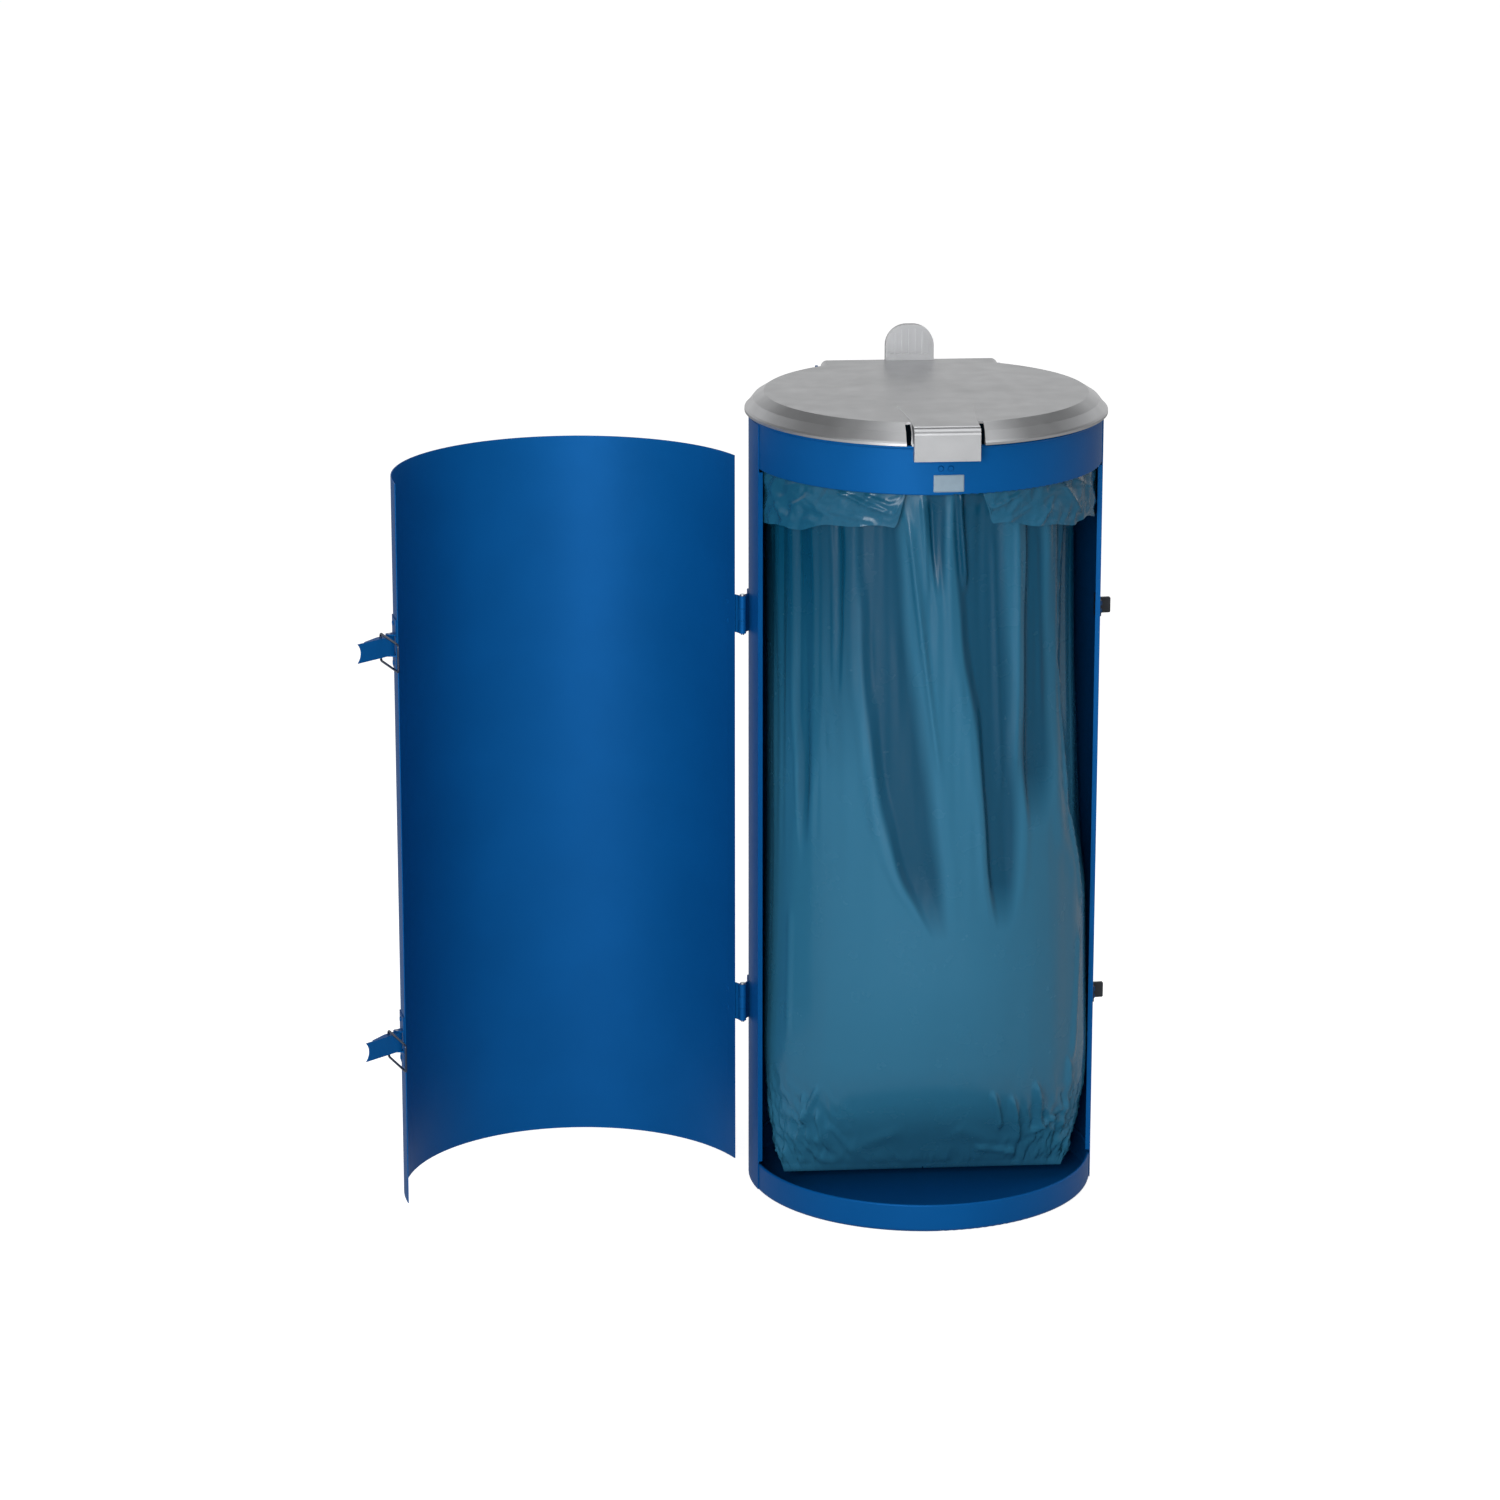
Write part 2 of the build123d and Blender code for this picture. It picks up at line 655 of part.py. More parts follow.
def strike(z):
    """Upright hook on the housing that the bail's bar pulls against."""
    foot = arc_wall(body_r + weld_gap, body_r + weld_gap + strike_flange_t,
                    strike_face_deg - strike_flange_deg, strike_face_deg,
                    z - strike_half_h, z + strike_half_h)
    a = radians(strike_face_deg)
    face = Plane(origin=(*polar(body_r, strike_face_deg), z), x_dir=(-sin(a), cos(a), 0),
                 z_dir=(0, 0, -1))
    tip = strike_lean - strike_set_back
    outline = make_face(Polyline((-strike_t, strike_root), (-strike_set_back, strike_root),
                                 (tip, strike_proud), (strike_lean - strike_t, strike_proud),
                                 close=True))
    tab = slab(outline, strike_half_h)
    tab = chamfer(tab.edges().filter_by(Axis.X).group_by(Axis.Y)[-1], strike_chamfer)
    return drilled(foot + face * tab, strike_rivets(z))


def strike_backing(z):
    """Plate behind the strike, inside the shell."""
    mid = strike_face_deg - strike_flange_deg / 2
    plate = arc_wall(seat_r - backing_t, seat_r, mid - backing_deg / 2, mid + backing_deg / 2,
                     z - backing_half_h, z + backing_half_h)
    return drilled(plate, strike_rivets(z))


def lid_outline(drop):
    """Profile of the lid from the axis to the lip, moved inward off its outer face by drop."""
    out, down = lid_shoulder
    corners = [(0, flat_z + lid_crown), (lid_flat_r, flat_z), (lid_flat_r + out, flat_z - down),
               (lip_r - lid_roll[0], lip_z + lid_roll[1]), (lip_r, lip_z + lip_h)]
    return [(r - drop * inward, z - drop * below)
            for (r, z), inward, below in zip(corners, lid_in, lid_down)]


def lid():
    """Moulded lid: shallow cap, front grip, rear tab and bosses for the hinge rod."""
    outer = lid_outline(0.0)
    inner = lid_outline(lid_t)
    wall = rz_face(outer + [(lip_r, lip_z), (lip_r - lid_t, lip_z)] + inner[::-1])
    cap = turn(wall)
    under = turn(rz_face(inner + [(lip_r - lid_t, lip_z - cut_deep), (0, lip_z - cut_deep)]))
    skirt_top = flat_z - lid_shoulder[1] - skirt_root
    cap += arc_wall_full(skirt_r - skirt_t, skirt_r, lip_z - skirt_drop, skirt_top)
    cap += rear_box(under) + grip(under) + tongue() + rear_tab()
    cap -= hinge_clearance()
    cap += hinge_bosses()
    return cap - Pos(0, rod_y, rod_z) * Rot(0, 90, 0) * Cylinder(rod_r + pin_fit, 4 * rod_end_x)


def arc_wall_full(r0, r1, z0, z1):
    """Closed ring between two radii and heights."""
    return turn(rz_face([(r0, z0), (r1, z0), (r1, z1), (r0, z1)]))


def block(x0, x1, y0, y1, z0, z1):
    """Box between its limits."""
    return Pos(x0, y0, z0) * Box(x1 - x0, y1 - y0, z1 - z0, align=(Align.MIN, Align.MIN, Align.MIN))


def grip(under):
    """Turned-down finger grip in front of the rim."""
    w = grip_half_w
    shell = block(-w, w, grip_y, grip_back_y, grip_low, flat_z)
    front_top = shell.edges().filter_by(Axis.X).sort_by_distance((0, grip_y, flat_z))[0]
    shell = fillet(front_top, grip_round)
    foot = grip_low - cut_past
    hollow = block(-w + lid_t, w - lid_t, grip_y + lid_t, grip_back_y + cut_past, foot, flat_z - lid_t)
    inner_top = hollow.edges().filter_by(Axis.X).sort_by_distance((0, grip_y, flat_z))[0]
    hollow = fillet(inner_top, grip_round - lid_t)
    reach = arc_solid(lip_r + grip_lip_gap, foot, lip_z)
    return shell - hollow - under - reach


def tongue():
    """Raised panel on the flat top that runs out into the grip."""
    z0 = flat_z - lid_t / 2
    outline = make_face(Polyline((-tongue_half_back, tongue_back_y), (tongue_half_back, tongue_back_y),
                                 (grip_half_w, grip_back_y), (grip_half_w, grip_y + grip_round),
                                 (-grip_half_w, grip_y + grip_round), (-grip_half_w, grip_back_y),
                                 close=True))
    plate = Pos(0, 0, z0) * extrude(outline, flat_z + tongue_rise - z0)
    top = plate.edges().filter_by(lambda e: e.center().Z > flat_z)
    return chamfer(top, tongue_bevel)


def rear_tab():
    """Upright tab at the back of the lid with a ribbed, recessed face."""
    low = flat_z - lid_t / 2
    z_mid = (low + flat_z + tab_h) / 2
    height = flat_z + tab_h - low
    up = Plane(origin=(0, tab_back_y, z_mid), x_dir=(1, 0, 0), z_dir=(0, -1, 0))
    outline = Rectangle(2 * tab_half_w, height)
    outline = fillet(outline.vertices().group_by(Axis.Y)[-1], tab_corner_r)
    tab = extrude(up * outline, tab_t)
    inset = Pos(0, tab_frame / 2) * Rectangle(2 * (tab_half_w - tab_frame), height - 3 * tab_frame)
    inset = fillet(inset.vertices().group_by(Axis.Y)[-1], tab_corner_r - tab_frame)
    pocket = extrude(up * Pos(0, 0, tab_t - tab_recess) * inset, tab_recess + cut_past)
    pitch = 2 * (tab_half_w - tab_frame) / (tab_ribs + 1)
    for i in range(tab_ribs):
        x = -tab_half_w + tab_frame + (i + 1) * pitch
        pocket -= Pos(x, tab_back_y - tab_t, z_mid) * Box(tab_rib_w, 2 * tab_recess, height)
    return tab - pocket


def arch(half_w, y0, y1, z0, z1, round_r):
    """Straight bar along Y with both upper edges rounded."""
    outline = Pos(0, (z1 - z0) / 2) * Rectangle(2 * half_w, z1 - z0)
    outline = fillet(outline.vertices().group_by(Axis.Y)[-1], round_r)
    across = Plane(origin=(0, y1, z0), x_dir=(1, 0, 0), z_dir=(0, -1, 0))
    return extrude(across * outline, y1 - y0)


def rear_box(under):
    """Straight housing along the back edge, over the hinge bosses."""
    hull = arch(box_half_w, box_front_y, box_back_y, lip_z, flat_z, box_end_round)
    back = hull.edges().filter_by(Axis.X).sort_by_distance((0, box_back_y, flat_z))[0]
    hull = fillet(back, box_round)
    room = arch(box_half_w - lid_t, box_front_y - cut_past, box_back_y - lid_t,
                lip_z - cut_past, flat_z - lid_t, box_end_round - lid_t)
    return hull - room - under


def hinge_clearance():
    """Slots for the bracket ears and for the grip, and the straight cut behind the box."""
    gap = ear_slot_gap
    low, high = lip_z - cut_deep, flat_z + cut_wide
    far_y = lip_r + cut_wide
    cuts = [block(-lip_r, lip_r, box_back_y, far_y, low, high)]
    x0, x1 = bracket_x - gap, bracket_x + bracket_t + gap
    s0 = grip_half_w + grip_slot_gap
    for side in (-1, 1):
        a, b = sorted((side * x0, side * x1))
        cuts.append(block(a, b, ear_slot_front_y, far_y, low, high))
        a, b = sorted((side * s0, side * (s0 + grip_slot)))
        cuts.append(block(a, b, -far_y, grip_back_y - grip_slot_short, low, high))
    return cuts


def hinge_bosses():
    """Two bosses that turn on the rod, joined to the back of the box."""
    bosses = []
    for side in (-1, 1):
        a, b = sorted((side * (box_half_w - boss_w), side * box_half_w))
        eye = Pos((a + b) / 2, rod_y, rod_z) * Rot(0, 90, 0) * Cylinder(boss_r, b - a)
        web = block(a, b, box_back_y - lid_t, rod_y, rod_z - boss_r, rod_z + boss_r)
        bosses += [eye, web]
    return bosses


def lid_bracket(side):
    """Ear at the back of the housing that holds the hinge rod, with a riveted flange."""
    x0, x1 = sorted((side * bracket_x, side * (bracket_x + bracket_t)))
    ear = block(x0, x1, bracket_front_y, rod_y, bracket_low + bracket_ear_low, rod_z)
    ear += Pos((x0 + x1) / 2, rod_y, rod_z) * Rot(0, 90, 0) * Cylinder(bracket_head_r, bracket_t)
    ear += block(x0, x1, bracket_front_y + bracket_web_in, rod_y, rod_z - cut_past, rod_z + bracket_head_r)
    ear -= block(x0 - cut_past, x1 + cut_past, rod_y - bracket_set_back, rod_y + bracket_set_back,
                 bracket_low - cut_past, rod_z - bracket_neck_h)
    a_ear = 90 - side * degrees(asin((bracket_x + bracket_t / 2) / body_r))
    a_end = 90 - side * degrees(asin((bracket_x - bracket_flange_w) / body_r))
    a0, a1 = sorted((a_ear, a_end))
    flange = arc_wall(body_r + weld_gap, body_r + weld_gap + bracket_t, a0, a1,
                      bracket_low, bracket_low + bracket_h)
    ear -= arc_solid(body_r + weld_gap, bracket_low - cut_past, shell_top + weld_gap)
    ear -= arc_solid(seat_r + ring_bead_r + seat_gap, shell_top, ring_top + seat_gap)
    ear -= Pos(0, rod_y, rod_z) * Rot(0, 90, 0) * Cylinder(rod_r + pin_press, 4 * rod_end_x)
    return drilled(ear + flange, bracket_rivets(side))


def lid_rod():
    """Rod through both ears and both bosses, headed at its ends."""
    rod = Cylinder(rod_r, 2 * rod_end_x)
    for side in (-1, 1):
        rod += Pos(0, 0, side * (rod_end_x - rod_head_t / 2)) * Cylinder(rod_head_r, rod_head_t)
    return Pos(0, rod_y, rod_z) * Rot(0, 90, 0) * rod


def save(name, shape):
    """Writes one named piece."""
    export_step(shape, f"parts/{name}.step")


def main():
    os.makedirs("parts", exist_ok=True)
    save("base_tray", base_tray())
    save("rear_shell", rear_shell())
    save("top_ring", top_ring())
    save("sack_ring", sack_ring())
    for name, angle in zip(("front", "right", "left"), lug_angles):
        save(f"ring_lug_{name}", ring_lug(angle))
    save("sack", sack())
    save("lid", lid())
    save("lid_rod", lid_rod())
    save("lid_bracket_left", lid_bracket(-1))
    save("lid_bracket_right", lid_bracket(1))
    save("door_panel", swing(door_panel()))
    for name, z in zip(fitting_names, fitting_z):
        save(f"body_leaf_{name}", hinge_leaf(z, toward_door=False))
        save(f"door_leaf_{name}", swing(hinge_leaf(z, toward_door=True)))
        save(f"hinge_pin_{name}", hinge_pin(z))
        save(f"latch_base_{name}", swing(latch_base(z)))
        save(f"latch_pin_{name}", swing(latch_pin(z)))
        save(f"lever_{name}", swing(lever(z)))
        save(f"bail_{name}", swing(bail(z)))
        save(f"strike_{name}", strike(z))
        save(f"strike_backing_{name}", strike_backing(z))
    save("housing_rivets", Compound([rivet(*place) for place in shell_rivets()]))
    flush = [rivet(*place, rivet_flush_h) for place in door_rivets()]
    save("door_rivets", swing(Compound(flush)))


main()
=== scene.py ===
"""Steel waste bin: finishes for its sheet metal, lid and fittings, its gathered film sack, the bare
plate under its grip, and a plain stage with the camera. Metres and degrees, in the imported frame."""
import json
import math

import bmesh
import bpy
from bpy.props import FloatProperty, FloatVectorProperty, IntProperty, PointerProperty
from mathutils import Euler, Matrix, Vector, noise


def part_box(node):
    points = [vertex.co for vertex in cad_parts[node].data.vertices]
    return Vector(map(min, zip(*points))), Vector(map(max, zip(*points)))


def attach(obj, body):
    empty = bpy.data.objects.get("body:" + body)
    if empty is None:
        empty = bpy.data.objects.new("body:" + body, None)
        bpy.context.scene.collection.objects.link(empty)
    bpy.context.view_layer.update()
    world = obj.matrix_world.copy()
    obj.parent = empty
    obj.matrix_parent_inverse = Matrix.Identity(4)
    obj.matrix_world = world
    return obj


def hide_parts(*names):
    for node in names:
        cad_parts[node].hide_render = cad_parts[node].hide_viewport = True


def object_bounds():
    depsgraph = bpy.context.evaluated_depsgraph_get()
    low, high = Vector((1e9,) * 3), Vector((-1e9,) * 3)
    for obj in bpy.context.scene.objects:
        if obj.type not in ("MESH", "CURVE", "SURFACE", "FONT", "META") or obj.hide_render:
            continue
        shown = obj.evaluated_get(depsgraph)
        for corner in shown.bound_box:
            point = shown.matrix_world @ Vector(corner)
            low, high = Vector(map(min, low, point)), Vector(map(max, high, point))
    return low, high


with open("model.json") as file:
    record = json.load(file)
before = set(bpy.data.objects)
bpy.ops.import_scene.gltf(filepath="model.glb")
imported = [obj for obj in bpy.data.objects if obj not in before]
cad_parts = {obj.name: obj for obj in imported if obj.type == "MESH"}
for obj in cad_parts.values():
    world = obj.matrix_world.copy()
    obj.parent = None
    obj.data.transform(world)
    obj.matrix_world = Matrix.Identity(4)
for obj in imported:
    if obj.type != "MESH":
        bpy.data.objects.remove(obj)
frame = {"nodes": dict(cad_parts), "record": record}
CAD_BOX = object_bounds()

bl_info = {
    "name": "Steel waste bin",
    "version": (1, 0, 0),
    "blender": (4, 5, 0),
    "location": "View3D > Sidebar > Waste bin",
    "description": "Finishes a sheet steel waste bin and hangs its film sack",
    "category": "Object",
}

FRONT = -90.0                 # angle of the bin's front, counted from +X

RING_LOW, RING_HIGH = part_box("sack_ring")
BAR_R = (RING_HIGH.z - RING_LOW.z) / 2
RING_R = (RING_HIGH.x - RING_LOW.x) / 2 - BAR_R
RING_Z = (RING_HIGH.z + RING_LOW.z) / 2
BAND_LOW, BAND_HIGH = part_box("top_ring")
BAND_BEAD_R = 0.0022          # rolled bead that stands out at the top of the band
BAND_R = (BAND_HIGH.x - BAND_LOW.x) / 2 - BAND_BEAD_R
LUG_ANGLES = (FRONT, FRONT + 120.0, FRONT + 240.0)

# The hem. Pairs such as HEM_DRAWN_REACH: where a change starts or ends, and how long it takes
FILM_GAP = 0.0005             # between the ring's bar and the film over it
FILM_R = BAR_R + FILM_GAP
BAND_WALL = 0.0022            # the band's wall at its hemmed lower edge
HEM_GAP = 0.001               # kept between that wall and the hem
HEM_FLARE = 0.0025            # how far the hem stands out
HEM_FLARE_LENGTH = 0.06       # length from the ring in which it does so
HEM_SIDE_MOST = 0.9           # most of the extra length that the sides get
HEM_WAVES = ((0.0035, 7, 40.0), (0.002, 17, 0.0))     # height, waves round, offset in degrees
HEM_DRAWN = 0.94              # share of the hem that is drawn up at a lug
HEM_DRAWN_REACH = (17.0, 6.5)     # degrees from the lug
HEM_CRUMPLE = 0.0034          # height of the hem's crossing creases
HEM_CRUMPLE_LENGTH = 0.035    # length from the ring in which they reach it
HEM_SHADE = 0.55              # share of the double film's colour in the hem

# The gathers. Places across a gather run from 0 at its left edge to 1 at its right edge.
GATHER_WAVER = 1.3            # degrees that the edges wander
WAVER_AROUND, WAVER_UP = 0.11, 9.0                    # scale of that wander's noise
GATHER_GROW = 0.11            # height above its tip in which a gather reaches its depth
GATHER_REACH = 0.45           # how far past its edges a gather still shapes the film
GATHER_LEFT_SLOPE, GATHER_RIGHT_SLOPE = 0.22, 0.45
GATHER_LIPS = ((1.0, -0.12, 0.10), (0.7, 1.12, 0.14))     # height, place across, width
LIP_SHARE = 0.26              # height of a lip as a share of the depth
DOUBLE_GROWTH = 0.6           # power by which the double film's colour comes in above the tip
DOUBLE_LEFT = (-0.08, 0.20)
DOUBLE_RIGHT = (1.10, 0.45)
CREASE_RISE, CREASE_FALL = 0.15, 0.25                 # shares of a crease's length
CREASE_REACH = 2.5            # half widths past which a crease is left out

# The body: ripples, wrinkles at the bottom, and the painted shade and painted light on the single
# film
NECK_DROP = 0.020             # from the ring's middle down to the neck
NECK_EASE = 0.03              # share of the depth in which the relief starts
RIPPLE_AROUND, RIPPLE_UP = 6.0, 1.1                   # scale of the ripples' noise
RIPPLE_FINER = 3.0            # how much finer the small ripples are
RIPPLE_OFFSET = 3.1           # keeps the broad waves apart from the small ones
RIPPLE_FINE, RIPPLE_BROAD = 0.0026, 0.0022            # heights
RIPPLE_RISE = (0.30, 0.55)    # height from which the small ripples grow
CORNER_SIDE = (0.35, 0.5)     # share of the half width
CORNER_TOP = (0.19, 0.13)     # height
SEAM_TOP = (0.085, 0.06)      # height, for the wrinkles along the seam
SEAM_SHARE = 0.30             # their height as a share of the corners'
CORNER_SCALE = 0.75           # share of the crumple's height that they get
CREASE_ROOM, LIFT_ROOM = 0.12, 0.1                    # share of the full depth that relief needs
LEAN_RISE, LEAN_FALL = 0.6, 0.15                      # shares of the sack's height
SEAM_FROM = 0.99              # share of the depth where the welded seam starts
SEAM_HALF = 0.0012            # half the space between the two sheets there
# Painted shade on the single film, darker towards the neck in the shade under the band, and painted
# light on the lit front ridges between the angles below
PAINTED_SHADE_MOST = 0.88
PAINTED_SHADE_RISE = (0.44, 0.46)     # height from which the painted shade deepens
PAINTED_LIGHT_ON_RIDGES = 0.55              # share of the painted shade that the lit ridges at the front lose, which paints light on them
PAINTED_LIGHT_FROM = (-124.0, 8.0)      # degrees
PAINTED_LIGHT_TO = (-38.0, 12.0)

# Noise of the crossing creases: scale round the sack, slant in x and in y, scale along it,
# dimension, lacunarity, and the level that counts as flat
CORNER_NOISE = (9.0, 14.0, 0.0, 24.0, 0.9, 2.1, 0.9)
HEM_NOISE = (7.0, 16.0, -10.0, 26.0, 0.85, 2.2, 0.7)
OCTAVES, NOISE_OFFSET, NOISE_GAIN = 3, 1.0, 2.0

# The stage
FLOOR_R = 14.0
FLOOR_Z = -0.0005             # just below the tray
FLOOR_TONE = 0.56             # sets how dark the shadow is
FLOOR_SEEN = 0.80             # glow that makes the lit floor white to the camera
FLOOR_IN_GLOSS = 0.12         # glow that the gloss of other pieces sees
# Upward part of a direction where the horizon's white starts to dim, and where it has dimmed
HORIZON_Z, CEILING_Z = 0.28, 0.64
KEY_AT, KEY_SIZE = (-1.4, -4.3, 1.6), 2.0
TOP_AT, TOP_SIZE = (0.2, -0.6, 4.0), 3.0
SENSOR_WIDTH = 36.0

# Share of the depth below the neck, cut off the half width and off the half depth, and share of
# the forward shift
SACK_PLAN = (
    (0.0, 0.0, 0.0, 0.0),
    (0.10, 0.0015, 0.0015, 0.0),
    (0.28, 0.0010, 0.0030, 0.02),
    (0.50, -0.002, 0.006, 0.08),
    (0.73, -0.006, 0.020, 0.25),
    (0.86, -0.009, 0.062, 0.52),
    (1.0, 0.020, None, 1.0),
)

# Gathers where the film hangs double: depth, share of the double film's colour, and rows from the
# neck down of height, angle of the left edge and angle of the right edge
GATHERS = (
    (0.0085, 0.95, ((0.95, -122.5, -104.0), (0.76, -120.8, -99.5), (0.62, -116.8, -94.0),
                    (0.47, -107.5, -89.0), (0.358, -91.0, -84.5))),
    (0.0085, 1.0, ((0.95, -88.0, -65.5), (0.76, -84.0, -62.5), (0.63, -78.5, -60.5),
                   (0.46, -74.0, -60.0), (0.367, -70.5, -62.0))),
    (0.0070, 0.9, ((0.95, -58.0, -49.0), (0.76, -59.0, -46.0), (0.60, -60.0, -44.0),
                   (0.49, -58.0, -43.5))),
    (0.0130, 0.15, ((0.95, -40.0, 24.0), (0.80, -44.0, 22.0), (0.66, -43.0, 20.0),
                    (0.57, -37.5, 16.0), (0.47, -30.0, 10.0), (0.38, -17.0, 2.0))),
    (0.0050, 0.6, ((0.95, -151.0, -142.0), (0.70, -151.0, -140.0), (0.45, -147.0, -141.0))),
    (0.0050, 0.4, ((0.95, 55.0, 75.0), (0.60, 58.0, 72.0), (0.40, 62.0, 68.0))),
    (0.0050, 0.4, ((0.95, 105.0, 122.0), (0.65, 106.0, 118.0), (0.42, 108.0, 113.0))),
    (0.0045, 0.4, ((0.95, 158.0, 170.0), (0.60, 160.0, 170.0), (0.38, 162.0, 166.0))),
    (0.0070, 1.0, ((0.95, -96.5, -88.0), (0.88, -95.0, -88.0), (0.78, -92.0, -87.5))),
    (0.0045, 0.7, ((0.95, -131.0, -126.0), (0.80, -131.0, -126.0), (0.66, -130.0, -127.0))),
)

# Ridges in the body's film: angle and height of each end, half width and how far it stands out
CREASES = (
    (-103.0, 0.93, -90.5, 0.56, 0.0045, 0.0050),
    (-97.5, 0.94, -95.0, 0.80, 0.0030, 0.0030),
    (-84.5, 0.95, -81.3, 0.81, 0.0040, 0.0100),
    (-71.0, 0.90, -67.0, 0.52, 0.0040, 0.0026),
    (-52.0, 0.90, -50.0, 0.62, 0.0035, 0.0022),
    (-62.0, 0.93, -62.0, 0.55, 0.0040, 0.0030),
    (-132.0, 0.60, -135.0, 0.72, 0.0060, 0.0012),
    (-152.0, 0.40, -152.0, 0.20, 0.0060, 0.0016),
    (-24.0, 0.36, -30.0, 0.16, 0.0060, 0.0034),
    (-82.0, 0.100, -60.0, 0.060, 0.0110, 0.0028),
    (-36.0, 0.95, -41.0, 0.70, 0.0030, 0.0040),
    (-41.0, 0.72, -33.0, 0.50, 0.0030, 0.0040),
    (-33.0, 0.52, -20.0, 0.36, 0.0030, 0.0035),
    (-134.0, 0.165, -150.0, 0.055, 0.0036, 0.0075),
    (-136.0, 0.125, -131.0, 0.050, 0.0032, 0.0070),
    (-143.0, 0.150, -140.0, 0.050, 0.0032, 0.0060),
    (-124.0, 0.050, -99.0, 0.100, 0.0110, 0.0030),
    (-70.0, 0.160, -62.0, 0.085, 0.0036, 0.0065),
    (-62.0, 0.150, -52.0, 0.055, 0.0036, 0.0080),
    (-52.0, 0.165, -42.0, 0.075, 0.0038, 0.0080),
    (-48.0, 0.075, -30.0, 0.115, 0.0036, 0.0070),
    (-72.0, 0.060, -50.0, 0.045, 0.0040, 0.0050),
    (-33.0, 0.190, -27.0, 0.070, 0.0040, 0.0060),
)
# The same in the hem
HEM_CREASES = (
    (-127.5, 0.940, -107.0, 0.915, 0.0024, 0.0048),
    (-118.0, 0.938, -107.0, 0.926, 0.0020, 0.0034),
    (-131.0, 0.914, -112.0, 0.904, 0.0024, 0.0020),
    (-142.0, 0.930, -128.0, 0.902, 0.0026, 0.0018),
    (-150.0, 0.905, -138.0, 0.925, 0.0026, 0.0018),
    (-160.0, 0.925, -152.0, 0.885, 0.0026, 0.0016),
    (-77.0, 0.918, -62.0, 0.938, 0.0024, 0.0036),
    (-70.0, 0.900, -56.0, 0.922, 0.0024, 0.0022),
    (-56.0, 0.890, -47.0, 0.930, 0.0026, 0.0026),
    (-44.0, 0.938, -30.0, 0.885, 0.0028, 0.0040),
    (-36.0, 0.940, -20.0, 0.915, 0.0026, 0.0024),
)


class BinFinishSettings(bpy.types.PropertyGroup):
    """Colours and surface of the metal and the lid."""
    coat_color: FloatVectorProperty(name="Powder coat", description="Colour of the coated steel",
                                    subtype="COLOR", size=3, default=(0.0012, 0.068, 0.232))
    coat_dark: FloatVectorProperty(name="Powder coat, thin",
                                   description="Colour where the coat is thinner",
                                   subtype="COLOR", size=3, default=(0.0010, 0.063, 0.216))
    coat_sheen: FloatVectorProperty(name="Coat sheen",
                                    description="Colour of the coat's soft gloss",
                                    subtype="COLOR", size=3, default=(0.16, 0.48, 1.0))
    lid_color: FloatVectorProperty(name="Lid", description="Colour of the moulded lid",
                                   subtype="COLOR", size=3, default=(0.385, 0.39, 0.40))
    black_color: FloatVectorProperty(name="Strikes", description="Colour of strikes and lugs",
                                     subtype="COLOR", size=3, default=(0.012, 0.014, 0.018))
    zinc_color: FloatVectorProperty(name="Zinc", description="Colour of the plated wire and pins",
                                    subtype="COLOR", size=3, default=(0.50, 0.52, 0.54))
    bail_color: FloatVectorProperty(name="Bails", description="Colour of the dull plated bails",
                                    subtype="COLOR", size=3, default=(0.045, 0.065, 0.11))
    plate_color: FloatVectorProperty(name="Plate", description="Colour of the bare plate",
                                     subtype="COLOR", size=3, default=(0.20, 0.27, 0.33))
    orange_peel: FloatProperty(name="Orange peel", description="Height of the coat's waves",
                               subtype="DISTANCE", unit="LENGTH", default=0.00012)


class BinSackSettings(bpy.types.PropertyGroup):
    """Form and colour of the film sack."""
    film_color: FloatVectorProperty(name="Film",
                                    description="Colour of the film where it is smooth",
                                    subtype="COLOR", size=3, default=(0.021, 0.128, 0.222))
    # The same colour is also the painted shade on the single film near the neck
    double_film_and_shade_color: FloatVectorProperty(name="Folded film",
                                    description="Colour where the film lies double",
                                    subtype="COLOR", size=3, default=(0.002, 0.054, 0.108))
    opacity: FloatProperty(name="Opacity", description="Share of light that the film stops",
                           subtype="FACTOR", min=0.0, max=1.0, default=0.90)
    around: IntProperty(name="Around", description="Faces round the sack", default=360, min=60)
    hem_rows: IntProperty(name="Hem rows", description="Rows of faces in the hem",
                          default=34, min=6)
    fold_rows: IntProperty(name="Fold rows", description="Rows over the ring", default=8, min=4)
    body_rows: IntProperty(name="Body rows", description="Rows below the ring", default=200, min=40)
    around_bias: FloatProperty(name="Front bias",
                               description="How much closer the faces stand at the front",
                               default=30.0)
    hem_length: FloatProperty(name="Hem", description="Length of the turned-down hem at the front",
                              subtype="DISTANCE", unit="LENGTH", default=0.066)
    hem_side: FloatProperty(name="Hem, sides",
                            description="How much longer the hem is at the sides",
                            subtype="DISTANCE", unit="LENGTH", default=0.034)
    lean: FloatProperty(name="Lean", description="How far the full belly leans to the right",
                        subtype="DISTANCE", unit="LENGTH", default=0.004)
    seam_height: FloatProperty(name="Seam height", description="Height of the bottom seam",
                               subtype="DISTANCE", unit="LENGTH", default=0.0205)
    forward: FloatProperty(name="Forward", description="How far forward the seam lies",
                           subtype="DISTANCE", unit="LENGTH", default=0.042)
    crumple: FloatProperty(name="Crumple",
                           description="Height of the wrinkles in the bottom corners",
                           subtype="DISTANCE", unit="LENGTH", default=0.0105)


